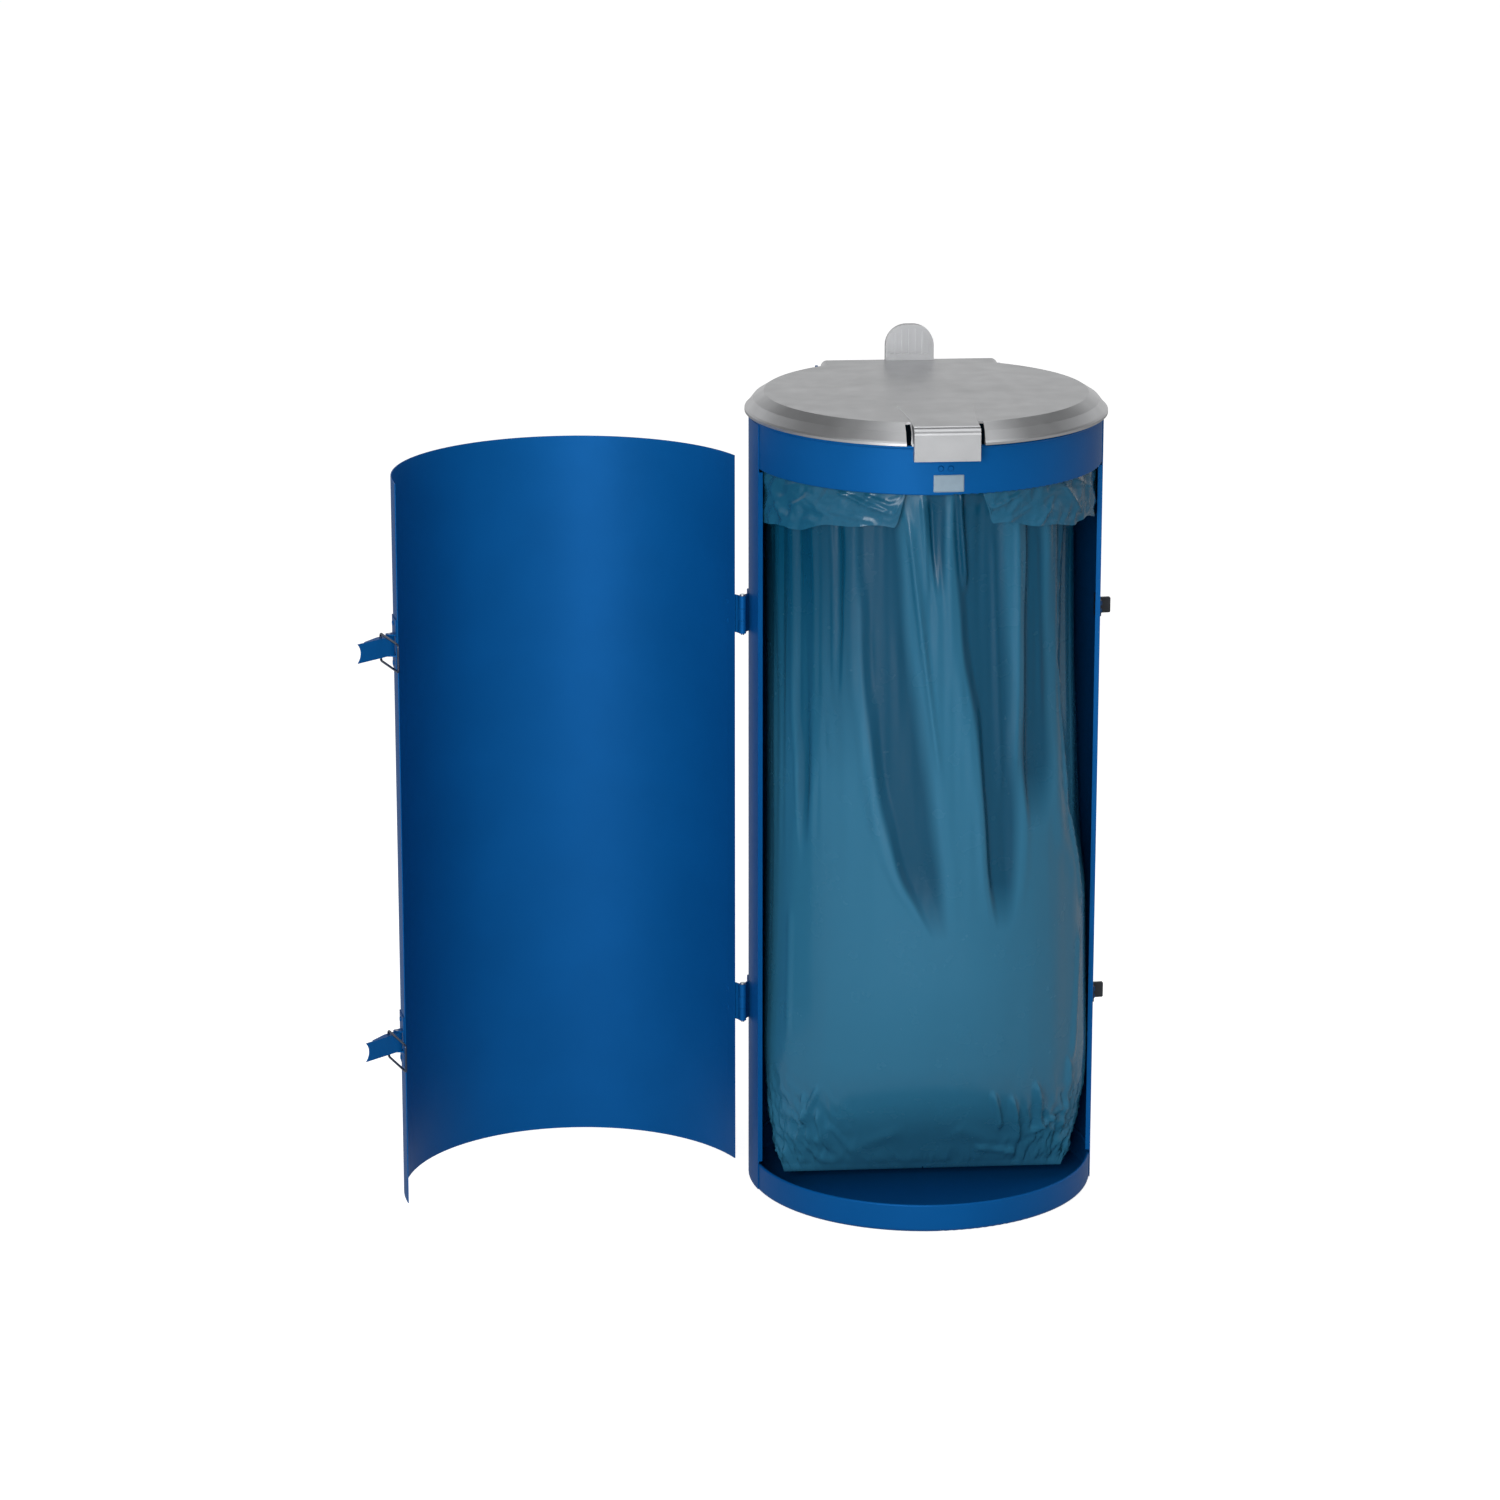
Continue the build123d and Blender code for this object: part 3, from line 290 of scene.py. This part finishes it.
class BinStageSettings(bpy.types.PropertyGroup):
    """Camera, lamps and floor."""
    camera_at: FloatVectorProperty(name="Camera", description="Place of the camera",
                                   subtype="TRANSLATION", size=3,
                                   default=(-0.68997, -6.12512, 2.2627))
    camera_tilt: FloatProperty(name="Tilt",
                               description="Camera's angle from straight down, in degrees",
                               default=74.592)
    camera_turn: FloatProperty(name="Turn", description="Camera's turn to the right, in degrees",
                               default=-4.4)
    lens: FloatProperty(name="Lens", description="Focal length in millimetres", default=121.57)
    key_power: FloatProperty(name="Key", description="Power of the front lamp", subtype="POWER",
                             default=178.0)
    top_power: FloatProperty(name="Top", description="Power of the lamp overhead", subtype="POWER",
                             default=60.0)
    ambient: FloatProperty(name="Ambient", description="Strength of the even light", default=0.40)
    ceiling: FloatProperty(name="Ceiling", description="Brightness of the room overhead in gloss",
                           default=0.05)


def settings(name):
    """One of the groups of settings on the scene."""
    return getattr(bpy.context.scene, name)


def smooth(x):
    """Eases from 0 to 1."""
    x = min(1.0, max(0.0, x))
    return x * x * (3 - 2 * x)


def rise(value, start, ease):
    """Eases from 0 at the start to 1 one ease further on."""
    return smooth((value - start) / ease)


def fall(value, end, ease):
    """Eases from 1 to 0, which it reaches at the end."""
    return smooth((end - value) / ease)


def wrap(degrees):
    """The same turn between -180 and 180 degrees."""
    return (degrees + 180.0) % 360.0 - 180.0


def new_material(name, roughness, metallic=0.0, specular=0.5):
    """Material with an empty Principled shader, ready for its colour."""
    material = bpy.data.materials.new(name)
    material.use_nodes = True
    shader = material.node_tree.nodes["Principled BSDF"]
    shader.inputs["Roughness"].default_value = roughness
    shader.inputs["Metallic"].default_value = metallic
    shader.inputs["Specular IOR Level"].default_value = specular
    return material, shader


def node(material, kind, **values):
    """New node of a material, with values for its inputs or its own settings."""
    made = material.node_tree.nodes.new(kind)
    for key, value in values.items():
        if key in made.inputs:
            made.inputs[key].default_value = value
        else:
            setattr(made, key, value)
    return made


def link(material, output, socket):
    material.node_tree.links.new(output, socket)


def pattern(material, scale, detail=2.0, stretch=(1.0, 1.0, 1.0)):
    """Noise on the piece's own Object coordinates."""
    place = node(material, "ShaderNodeTexCoord")
    turn = node(material, "ShaderNodeMapping", Scale=stretch)
    wave = node(material, "ShaderNodeTexNoise", Scale=scale, Detail=detail)
    link(material, place.outputs["Object"], turn.inputs["Vector"])
    link(material, turn.outputs["Vector"], wave.inputs["Vector"])
    return wave


def ramp(material, source, low, high, start=0.35, end=0.65):
    """Colour that runs from low to high over a noise."""
    made = node(material, "ShaderNodeValToRGB")
    for stop, position, color in zip(made.color_ramp.elements, (start, end), (low, high)):
        stop.position = position
        stop.color = (*color, 1.0)
    link(material, source, made.inputs["Fac"])
    return made.outputs["Color"]


def relief(material, shader, source, distance, strength=1.0):
    """Fine relief on a shader's surface."""
    bump = node(material, "ShaderNodeBump", Strength=strength, Distance=distance)
    link(material, source, bump.inputs["Height"])
    link(material, bump.outputs["Normal"], shader.inputs["Normal"])


def spread(material, shader, wave, low, high):
    """Roughness that varies between low and high over a noise."""
    mapped = node(material, "ShaderNodeMapRange")
    mapped.inputs["To Min"].default_value = low
    mapped.inputs["To Max"].default_value = high
    link(material, wave.outputs["Fac"], mapped.inputs["Value"])
    link(material, mapped.outputs["Result"], shader.inputs["Roughness"])


def powder_coat():
    """Blue powder coat: satin, with the fine waves of sprayed and baked powder."""
    s = settings("bin_finish")
    material, shader = new_material("powder_coat_blue", 0.46, metallic=0.2, specular=0.30)
    shader.inputs["Specular Tint"].default_value = (*s.coat_sheen, 1.0)
    tone = pattern(material, 9.0, 3.0)
    link(material, ramp(material, tone.outputs["Fac"], s.coat_dark, s.coat_color),
         shader.inputs["Base Color"])
    peel = pattern(material, 420.0, 2.0)
    relief(material, shader, peel.outputs["Fac"], s.orange_peel, 0.6)
    spread(material, shader, pattern(material, 60.0), 0.44, 0.49)
    return material


def lid_moulding():
    """Silver-grey moulded plastic with a fine grain and faint flow lines."""
    s = settings("bin_finish")
    material, shader = new_material("lid_moulding_grey", 0.36, metallic=0.85)
    darker = tuple(0.90 * c for c in s.lid_color)
    flow = pattern(material, 14.0, 4.0, stretch=(0.5, 1.6, 1.0))
    link(material, ramp(material, flow.outputs["Fac"], darker, s.lid_color),
         shader.inputs["Base Color"])
    grain = pattern(material, 900.0, 2.0)
    relief(material, shader, grain.outputs["Fac"], 0.00008, 0.5)
    spread(material, shader, pattern(material, 45.0), 0.30, 0.42)
    return material


def zinc_plate(name, color):
    """Zinc-plated steel with a clouded, slightly uneven surface."""
    material, shader = new_material(name, 0.32, metallic=1.0)
    cloud = pattern(material, 80.0, 3.0)
    dull = tuple(0.78 * c for c in color)
    link(material, ramp(material, cloud.outputs["Fac"], dull, color), shader.inputs["Base Color"])
    spread(material, shader, pattern(material, 300.0), 0.26, 0.42)
    return material


def black_paint():
    """Black stoved paint on strikes, backing plates and lugs."""
    s = settings("bin_finish")
    material, shader = new_material("black_stove_paint", 0.4, specular=0.3)
    cloud = pattern(material, 70.0, 2.0)
    lighter = tuple(1.8 * c for c in s.black_color)
    link(material, ramp(material, cloud.outputs["Fac"], s.black_color, lighter),
         shader.inputs["Base Color"])
    relief(material, shader, pattern(material, 500.0).outputs["Fac"], 0.00006, 0.5)
    return material


def bare_plate_paint():
    """Pale satin plate."""
    s = settings("bin_finish")
    material, shader = new_material("plate_satin", 0.4, specular=0.3)
    cloud = pattern(material, 120.0, 2.0)
    duller = tuple(0.93 * c for c in s.plate_color)
    link(material, ramp(material, cloud.outputs["Fac"], duller, s.plate_color),
         shader.inputs["Base Color"])
    return material


def sack_film():
    """Translucent blue film: deeper in its gathers, where it lies double, and in the painted shade
    near the neck; paler and greyer where it is smooth.
    """
    s = settings("bin_sack")
    material, shader = new_material("sack_film_blue", 0.24, specular=0.22)
    shader.inputs["Alpha"].default_value = s.opacity
    # The attribute holds the double film's share and the painted shade near the neck
    double_and_shade = node(material, "ShaderNodeAttribute", attribute_name="double_and_shade")
    link(material, ramp(material, double_and_shade.outputs["Fac"], s.film_color, s.double_film_and_shade_color, 0.15, 0.85),
         shader.inputs["Base Color"])
    crinkle = pattern(material, 30.0, 2.0, stretch=(1.0, 1.0, 0.30))
    relief(material, shader, crinkle.outputs["Fac"], 0.0014, 0.40)
    spread(material, shader, pattern(material, 25.0, 3.0), 0.20, 0.32)
    return material


def hem_at(degrees):
    """Length of the hem at an angle: longer at the sides, and drawn up beside each lug."""
    s = settings("bin_sack")
    nearest = min(abs(wrap(degrees - a)) for a in LUG_ANGLES)
    drawn = fall(nearest, *HEM_DRAWN_REACH)
    side = min(HEM_SIDE_MOST, 1.0 - math.cos(math.radians(degrees - FRONT)))
    wave = sum(high * math.sin(math.radians(count * degrees + offset))
               for high, count, offset in HEM_WAVES)
    return (s.hem_length + s.hem_side * side + wave) * (1.0 - HEM_DRAWN * drawn)


def plan_at(share):
    """Cuts off the half width and half depth, and share of the shift, between rows of the plan."""
    seam_cut = RING_R - BAR_R
    rows = [(t, x, seam_cut if y is None else y, f) for t, x, y, f in SACK_PLAN]
    for low, high in zip(rows, rows[1:]):
        if share <= high[0]:
            mix = (share - low[0]) / (high[0] - low[0])
            return tuple(a + (b - a) * mix for a, b in zip(low[1:], high[1:]))
    return rows[-1][1:]


def smooth_plan(share):
    """The plan eased over a short stretch, so that its rows leave no crease."""
    reach, steps = 0.05, 4
    near = [plan_at(min(1.0, max(0.0, share + reach * k / steps)))
            for k in range(-steps, steps + 1)]
    soft = tuple(sum(row[i] for row in near) / len(near) for i in range(3))
    sharp = plan_at(share)
    keep = rise(share, 1.0 - reach, reach)
    return tuple(a + (b - a) * keep for a, b in zip(soft, sharp))


def edges_at(rows, z):
    """Left and right edge of a gather at a height, on a curve through its rows."""
    z = min(rows[0][0], max(rows[-1][0], z))
    last = len(rows) - 2
    i = next((k for k in range(last) if z >= rows[k + 1][0]), last)
    before, top, foot, after = (rows[k] for k in (max(0, i - 1), i, i + 1, min(last + 1, i + 2)))
    gap = top[0] - foot[0]
    t = (top[0] - z) / gap
    found = []
    for side in (1, 2):
        start, end = top[side], foot[side]
        leave = (end - before[side]) / max(gap, before[0] - foot[0]) * gap
        arrive = (after[side] - start) / max(gap, top[0] - after[0]) * gap
        found.append((2 * t ** 3 - 3 * t ** 2 + 1) * start + (t ** 3 - 2 * t ** 2 + t) * leave
                     + (3 * t ** 2 - 2 * t ** 3) * end + (t ** 3 - t ** 2) * arrive)
    return found


def gather_depth(degrees, z):
    """Depth of the gathers at an angle and a height, and how double the film is there."""
    depth = 0.0
    double = 0.0
    waver = GATHER_WAVER * noise.noise(Vector((WAVER_AROUND * degrees, WAVER_UP * z, 0.0)))
    for deep, share, rows in GATHERS:
        tip_z = rows[-1][0]
        if z <= tip_z:
            continue
        left, right = edges_at(rows, z)
        across = wrap(degrees + waver - left) / (right - left)
        if not -GATHER_REACH < across < 1.0 + GATHER_REACH:
            continue
        grow = rise(z, tip_z, GATHER_GROW)
        floor = rise(across, 0.0, GATHER_LEFT_SLOPE) * fall(across, 1.0, GATHER_RIGHT_SLOPE)
        lips = sum(high * math.exp(-((across - place) / width) ** 2)
                   for high, place, width in GATHER_LIPS)
        depth += deep * grow * (floor - LIP_SHARE * lips)
        double = max(double, share * grow ** DOUBLE_GROWTH * rise(across, *DOUBLE_LEFT)
                     * fall(across, *DOUBLE_RIGHT))
    return depth, double


def ridges(table, degrees, z):
    """Height of the creases of a table at an angle and a height."""
    total = 0.0
    for from_angle, from_z, to_angle, to_z, half, high in table:
        run = math.radians(to_angle - from_angle) * RING_R, to_z - from_z
        at = math.radians(wrap(degrees - from_angle)) * RING_R, z - from_z
        along = (at[0] * run[0] + at[1] * run[1]) / (run[0] ** 2 + run[1] ** 2)
        if not 0.0 < along < 1.0:
            continue
        off = math.hypot(at[0] - along * run[0], at[1] - along * run[1]) / half
        if off < CREASE_REACH:
            total += (high * math.exp(-off * off) * rise(along, 0.0, CREASE_RISE)
                      * fall(along, 1.0, CREASE_FALL))
    return total


def body_ripple(degrees, z):
    """Small upright ripples that die away towards the belly, on broad waves."""
    a = math.radians(degrees)
    at = Vector((RIPPLE_AROUND * math.cos(a), RIPPLE_AROUND * math.sin(a), RIPPLE_UP * z))
    fine = noise.noise(RIPPLE_FINER * at)
    broad = noise.noise(at + Vector((RIPPLE_OFFSET, 0.0, 0.0)))
    return RIPPLE_FINE * rise(z, *RIPPLE_RISE) * fine + RIPPLE_BROAD * broad


def crossing_creases(degrees, along, recipe):
    """Ridged noise that slants round the sack, counted from the level that lies flat."""
    around, slant_x, slant_y, up, dimension, lacunarity, flat = recipe
    a = math.radians(degrees)
    at = Vector((around * math.cos(a) + slant_x * along, around * math.sin(a) + slant_y * along,
                 up * along))
    ridged = noise.ridged_multi_fractal(at, dimension, lacunarity, OCTAVES, NOISE_OFFSET,
                                        NOISE_GAIN)
    return ridged - flat


def corner_crumple(degrees, z):
    """Wrinkles in the two bottom corners and, less, along the seam."""
    side = abs(math.cos(math.radians(degrees)))
    corner = rise(side, *CORNER_SIDE) * fall(z, *CORNER_TOP)
    along = SEAM_SHARE * fall(z, *SEAM_TOP)
    high = settings("bin_sack").crumple * max(corner, along)
    return high * crossing_creases(degrees, z, CORNER_NOISE) * CORNER_SCALE


def hem_crumple(degrees, below):
    """Crossing creases in the hem, none at the ring and most at its lower edge."""
    grow = rise(below, 0.0, HEM_CRUMPLE_LENGTH)
    return HEM_CRUMPLE * grow * crossing_creases(degrees, below, HEM_NOISE)


def film_painted_shade(degrees, z):
    """How deep the painted shade on the single film is: deepest near the neck, less on the front
    ridges, where painted light falls.
    """
    lit = rise(degrees, *PAINTED_LIGHT_FROM) * fall(degrees, *PAINTED_LIGHT_TO)
    return PAINTED_SHADE_MOST * rise(z, *PAINTED_SHADE_RISE) * (1.0 - PAINTED_LIGHT_ON_RIDGES * lit)


def polar(degrees, r, z):
    """The point at an angle, a distance from the bin's axis and a height."""
    a = math.radians(degrees)
    return Vector((r * math.cos(a), r * math.sin(a), z))


def hem_point(degrees, below):
    """Point of the hem, at a length below the ring's middle."""
    r = RING_R + FILM_R + HEM_FLARE * rise(below, 0.0, HEM_FLARE_LENGTH)
    r += hem_crumple(degrees, below)
    r += ridges(HEM_CREASES, degrees, RING_Z - below)
    r = min(max(r, RING_R + FILM_R), BAND_R - BAND_WALL - HEM_GAP)
    return polar(degrees, r, RING_Z - below)


def fold_point(degrees, turn):
    """Point of the film over the ring's bar, turned from the outside over to the inside."""
    return polar(degrees, RING_R + FILM_R * math.cos(turn), RING_Z + FILM_R * math.sin(turn))


def body_point(degrees, share):
    """Point of the film below the ring, with the share of the deep colour there, for double film and
    for painted shade.
    """
    s = settings("bin_sack")
    a = math.radians(degrees)
    inside = RING_R - FILM_R
    z = RING_Z + (s.seam_height - RING_Z) * share
    neck_z = RING_Z - NECK_DROP
    down = max(0.0, (neck_z - z) / (neck_z - s.seam_height))
    cut_x, cut_y, shift = smooth_plan(down)
    half_x = inside - cut_x
    half_y = max(0.0, inside - cut_y)
    gather, double = gather_depth(degrees, z)
    room = half_y / inside
    creased = corner_crumple(degrees, z) + ridges(CREASES, degrees, z)
    lift = (body_ripple(degrees, z) - gather) * rise(down, 0.0, NECK_EASE) * room
    lift += creased * rise(room, 0.0, CREASE_ROOM)
    lean = s.lean * rise(down, 0.0, LEAN_RISE) * fall(down, 1.0, LEAN_FALL)
    x = (half_x + lift) * math.cos(a) + lean
    y = (half_y + lift * rise(room, 0.0, LIFT_ROOM)) * math.sin(a) - s.forward * shift
    if down > SEAM_FROM:
        y += math.copysign(SEAM_HALF, y + s.forward * shift)
    return Vector((x, y, z)), max(double, film_painted_shade(degrees, z))


def sack_point(degrees, row, counts):
    """Place of one point of the film, with the share of the deep colour there, for double film and
    for painted shade.
    """
    hem_rows, fold_rows, body_rows = counts
    if row <= hem_rows:
        return hem_point(degrees, hem_at(degrees) * (1.0 - row / hem_rows)), HEM_SHADE
    row -= hem_rows
    if row <= fold_rows:
        return fold_point(degrees, math.pi * row / fold_rows), 0.0
    return body_point(degrees, (row - fold_rows) / body_rows)


def finish_mesh(name, bm, material, body):
    """Makes a bmesh a piece that rides on a body."""
    mesh = bpy.data.meshes.new(name)
    bm.to_mesh(mesh)
    bm.free()
    mesh.shade_smooth()
    piece = bpy.data.objects.new(name, mesh)
    bpy.context.scene.collection.objects.link(piece)
    mesh.materials.append(material)
    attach(piece, body)
    return piece


def assign(material, names):
    """Gives CAD nodes their finish."""
    for name in names:
        mesh = frame["nodes"][name].data
        mesh.materials.clear()
        mesh.materials.append(material)


def slots_of(slot):
    """Names of the CAD nodes that the record gives a slot."""
    return [part["node"] for part in frame["record"]["subparts"] if part["material_slot"] == slot]


class BIN_OT_coat_steel(bpy.types.Operator):
    """Powder coats the housing, the door and their fittings."""
    bl_idname = "waste_bin.coat_steel"
    bl_label = "Coat the steel"

    def execute(self, context):
        assign(powder_coat(), slots_of("blue_coat"))
        assign(black_paint(), slots_of("black_steel"))
        return {"FINISHED"}


class BIN_OT_plate_wire(bpy.types.Operator):
    """Plates the pins, the bails, the rod and the sack ring."""
    bl_idname = "waste_bin.plate_wire"
    bl_label = "Plate wire and pins"

    def execute(self, context):
        s = settings("bin_finish")
        plated = slots_of("zinc_steel")
        bails = [name for name in plated if name.startswith("bail_")]
        assign(zinc_plate("zinc_plate", s.zinc_color), plated)
        assign(zinc_plate("bail_plate", s.bail_color), bails)
        return {"FINISHED"}


class BIN_OT_mould_lid(bpy.types.Operator):
    """Gives the lid its moulded finish."""
    bl_idname = "waste_bin.mould_lid"
    bl_label = "Mould the lid"

    def execute(self, context):
        assign(lid_moulding(), slots_of("lid_plastic"))
        return {"FINISHED"}


class BIN_OT_hang_sack(bpy.types.Operator):
    """Hangs the gathered film sack over its ring."""
    bl_idname = "waste_bin.hang_sack"
    bl_label = "Hang the sack"

    def execute(self, context):
        s = settings("bin_sack")
        counts = (s.hem_rows, s.fold_rows, s.body_rows)
        rows = sum(counts)
        bm = bmesh.new()
        bmesh.ops.create_grid(bm, x_segments=s.around, y_segments=rows, size=0.5)
        # Holds each point's share of double film and of painted shade
        double_and_shade_layer = bm.verts.layers.float.new("double_and_shade")
        for vert in bm.verts:
            turn = vert.co.x
            degrees = FRONT + 360.0 * turn - s.around_bias * math.sin(math.tau * turn)
            row = round((vert.co.y + 0.5) * rows)
            vert.co, vert[double_and_shade_layer] = sack_point(degrees, row, counts)
        bmesh.ops.remove_doubles(bm, verts=bm.verts, dist=0.00002)
        bmesh.ops.recalc_face_normals(bm, faces=bm.faces)
        sack = finish_mesh("film_sack", bm, sack_film(), "housing")
        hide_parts("sack")
        return {"FINISHED"}


class BIN_OT_fix_plate(bpy.types.Operator):
    """Fixes the bare plate on the band, below the grip."""
    bl_idname = "waste_bin.fix_plate"
    bl_label = "Fix the bare plate"

    width = 0.037
    height = 0.021
    middle_z = 0.9565
    at_degrees = -89.0
    thick = 0.0006
    gap = 0.0001
    across, up = 20, 8            # faces
    corner_share, corner_faces = 0.04, 4

    def execute(self, context):
        bm = bmesh.new()
        bmesh.ops.create_grid(bm, x_segments=self.across, y_segments=self.up, size=0.5)
        corners = [v for v in bm.verts if len(v.link_faces) == 1]
        bmesh.ops.bevel(bm, geom=corners, offset=self.corner_share, segments=self.corner_faces,
                        profile=0.5, affect="VERTICES", material=-1)
        bmesh.ops.solidify(bm, geom=bm.faces, thickness=self.thick)
        for vert in bm.verts:
            r = BAND_R + self.gap + self.thick / 2 + vert.co.z
            turn = math.radians(self.at_degrees) + vert.co.x * self.width / BAND_R
            vert.co = Vector((r * math.cos(turn), r * math.sin(turn),
                              self.middle_z + vert.co.y * self.height))
        bmesh.ops.recalc_face_normals(bm, faces=bm.faces)
        finish_mesh("bare_plate", bm, bare_plate_paint(), "housing")
        return {"FINISHED"}


def area_lamp(name, at, aim, size, power):
    """Square soft lamp that faces a point."""
    light = bpy.data.lights.new(name, "AREA")
    light.size = size
    light.energy = power
    lamp = bpy.data.objects.new(name, light)
    lamp.location = at
    lamp.rotation_euler = (Vector(aim) - Vector(at)).to_track_quat("-Z", "Y").to_euler()
    bpy.context.scene.collection.objects.link(lamp)


def pale_floor():
    """Floor that keeps the shadow and shows white to the camera and in gloss."""
    material, shader = new_material("floor_white", 0.9, specular=0.0)
    shader.inputs["Base Color"].default_value = (FLOOR_TONE, FLOOR_TONE, FLOOR_TONE, 1.0)
    seen = node(material, "ShaderNodeLightPath")
    plain = node(material, "ShaderNodeMath", operation="MULTIPLY")
    plain.inputs[1].default_value = FLOOR_SEEN
    gloss = node(material, "ShaderNodeMath", operation="MULTIPLY_ADD")
    gloss.inputs[1].default_value = FLOOR_IN_GLOSS
    link(material, seen.outputs["Is Camera Ray"], plain.inputs[0])
    link(material, seen.outputs["Is Glossy Ray"], gloss.inputs[0])
    link(material, plain.outputs["Value"], gloss.inputs[2])
    shader.inputs["Emission Color"].default_value = (1.0, 1.0, 1.0, 1.0)
    link(material, gloss.outputs["Value"], shader.inputs["Emission Strength"])
    return material


def pale_world(ambient, ceiling):
    """Even light, white to the camera. In gloss it is white at the horizon and dim overhead."""
    world = bpy.data.worlds.new("pale_room")
    world.use_nodes = True
    nodes, links = world.node_tree.nodes, world.node_tree.links
    back = nodes["Background"]
    back.inputs["Color"].default_value = (1.0, 1.0, 1.0, 1.0)
    path = nodes.new("ShaderNodeLightPath")
    place = nodes.new("ShaderNodeTexCoord")
    split = nodes.new("ShaderNodeSeparateXYZ")
    links.new(place.outputs["Generated"], split.inputs["Vector"])
    dim = nodes.new("ShaderNodeMapRange")
    dim.interpolation_type = "SMOOTHSTEP"
    for name, value in (("From Min", HORIZON_Z), ("From Max", CEILING_Z),
                        ("To Min", 1.0), ("To Max", ceiling)):
        dim.inputs[name].default_value = value
    links.new(split.outputs["Z"], dim.inputs["Value"])
    gloss = nodes.new("ShaderNodeMix")
    gloss.inputs["A"].default_value = ambient
    links.new(path.outputs["Is Glossy Ray"], gloss.inputs["Factor"])
    links.new(dim.outputs["Result"], gloss.inputs["B"])
    seen = nodes.new("ShaderNodeMath")
    seen.operation = "MAXIMUM"
    links.new(path.outputs["Is Camera Ray"], seen.inputs[0])
    links.new(path.outputs["Is Transmission Ray"], seen.inputs[1])
    plain = nodes.new("ShaderNodeMix")
    plain.inputs["B"].default_value = 1.0
    links.new(seen.outputs["Value"], plain.inputs["Factor"])
    links.new(gloss.outputs["Result"], plain.inputs["A"])
    links.new(plain.outputs["Result"], back.inputs["Strength"])
    bpy.context.scene.world = world


class BIN_OT_set_stage(bpy.types.Operator):
    """Sets floor, light and camera."""
    bl_idname = "waste_bin.set_stage"
    bl_label = "Set the stage"

    def execute(self, context):
        s = settings("bin_stage")
        middle = (CAD_BOX[0] + CAD_BOX[1]) / 2
        bm = bmesh.new()
        bmesh.ops.create_circle(bm, cap_ends=True, segments=64, radius=FLOOR_R)
        bmesh.ops.translate(bm, verts=bm.verts, vec=(middle.x, middle.y, FLOOR_Z))
        mesh = bpy.data.meshes.new("floor")
        bm.to_mesh(mesh)
        bm.free()
        floor = bpy.data.objects.new("floor", mesh)
        context.scene.collection.objects.link(floor)
        mesh.materials.append(pale_floor())
        pale_world(s.ambient, s.ceiling)
        area_lamp("key", KEY_AT, middle, KEY_SIZE, s.key_power)
        area_lamp("top", TOP_AT, middle, TOP_SIZE, s.top_power)
        lens = bpy.data.cameras.new("camera")
        lens.sensor_width = SENSOR_WIDTH
        lens.lens = s.lens
        camera = bpy.data.objects.new("camera", lens)
        camera.location = s.camera_at
        camera.rotation_euler = Euler((math.radians(s.camera_tilt), 0.0,
                                       math.radians(s.camera_turn)))
        context.scene.collection.objects.link(camera)
        context.scene.camera = camera
        context.scene.view_settings.view_transform = "Standard"
        return {"FINISHED"}


class BIN_PT_panel(bpy.types.Panel):
    """Lists the steps in the sidebar."""
    bl_idname = "BIN_PT_panel"
    bl_label = "Waste bin"
    bl_space_type = "VIEW_3D"
    bl_region_type = "UI"
    bl_category = "Waste bin"

    def draw(self, context):
        for step in STEPS:
            self.layout.operator(step.bl_idname)


STEPS = (BIN_OT_coat_steel, BIN_OT_plate_wire, BIN_OT_mould_lid, BIN_OT_hang_sack, BIN_OT_fix_plate,
         BIN_OT_set_stage)
GROUPS = {"bin_finish": BinFinishSettings, "bin_sack": BinSackSettings,
          "bin_stage": BinStageSettings}


def register():
    for made in (*GROUPS.values(), *STEPS, BIN_PT_panel):
        bpy.utils.register_class(made)
    for name, group in GROUPS.items():
        setattr(bpy.types.Scene, name, PointerProperty(type=group))


def unregister():
    for name in GROUPS:
        delattr(bpy.types.Scene, name)
    for made in (BIN_PT_panel, *reversed(STEPS), *GROUPS.values()):
        bpy.utils.unregister_class(made)


def main():
    register()
    bpy.ops.waste_bin.coat_steel()
    bpy.ops.waste_bin.plate_wire()
    bpy.ops.waste_bin.mould_lid()
    bpy.ops.waste_bin.hang_sack()
    bpy.ops.waste_bin.fix_plate()
    bpy.ops.waste_bin.set_stage()


if __name__ == "__main__":
    main()
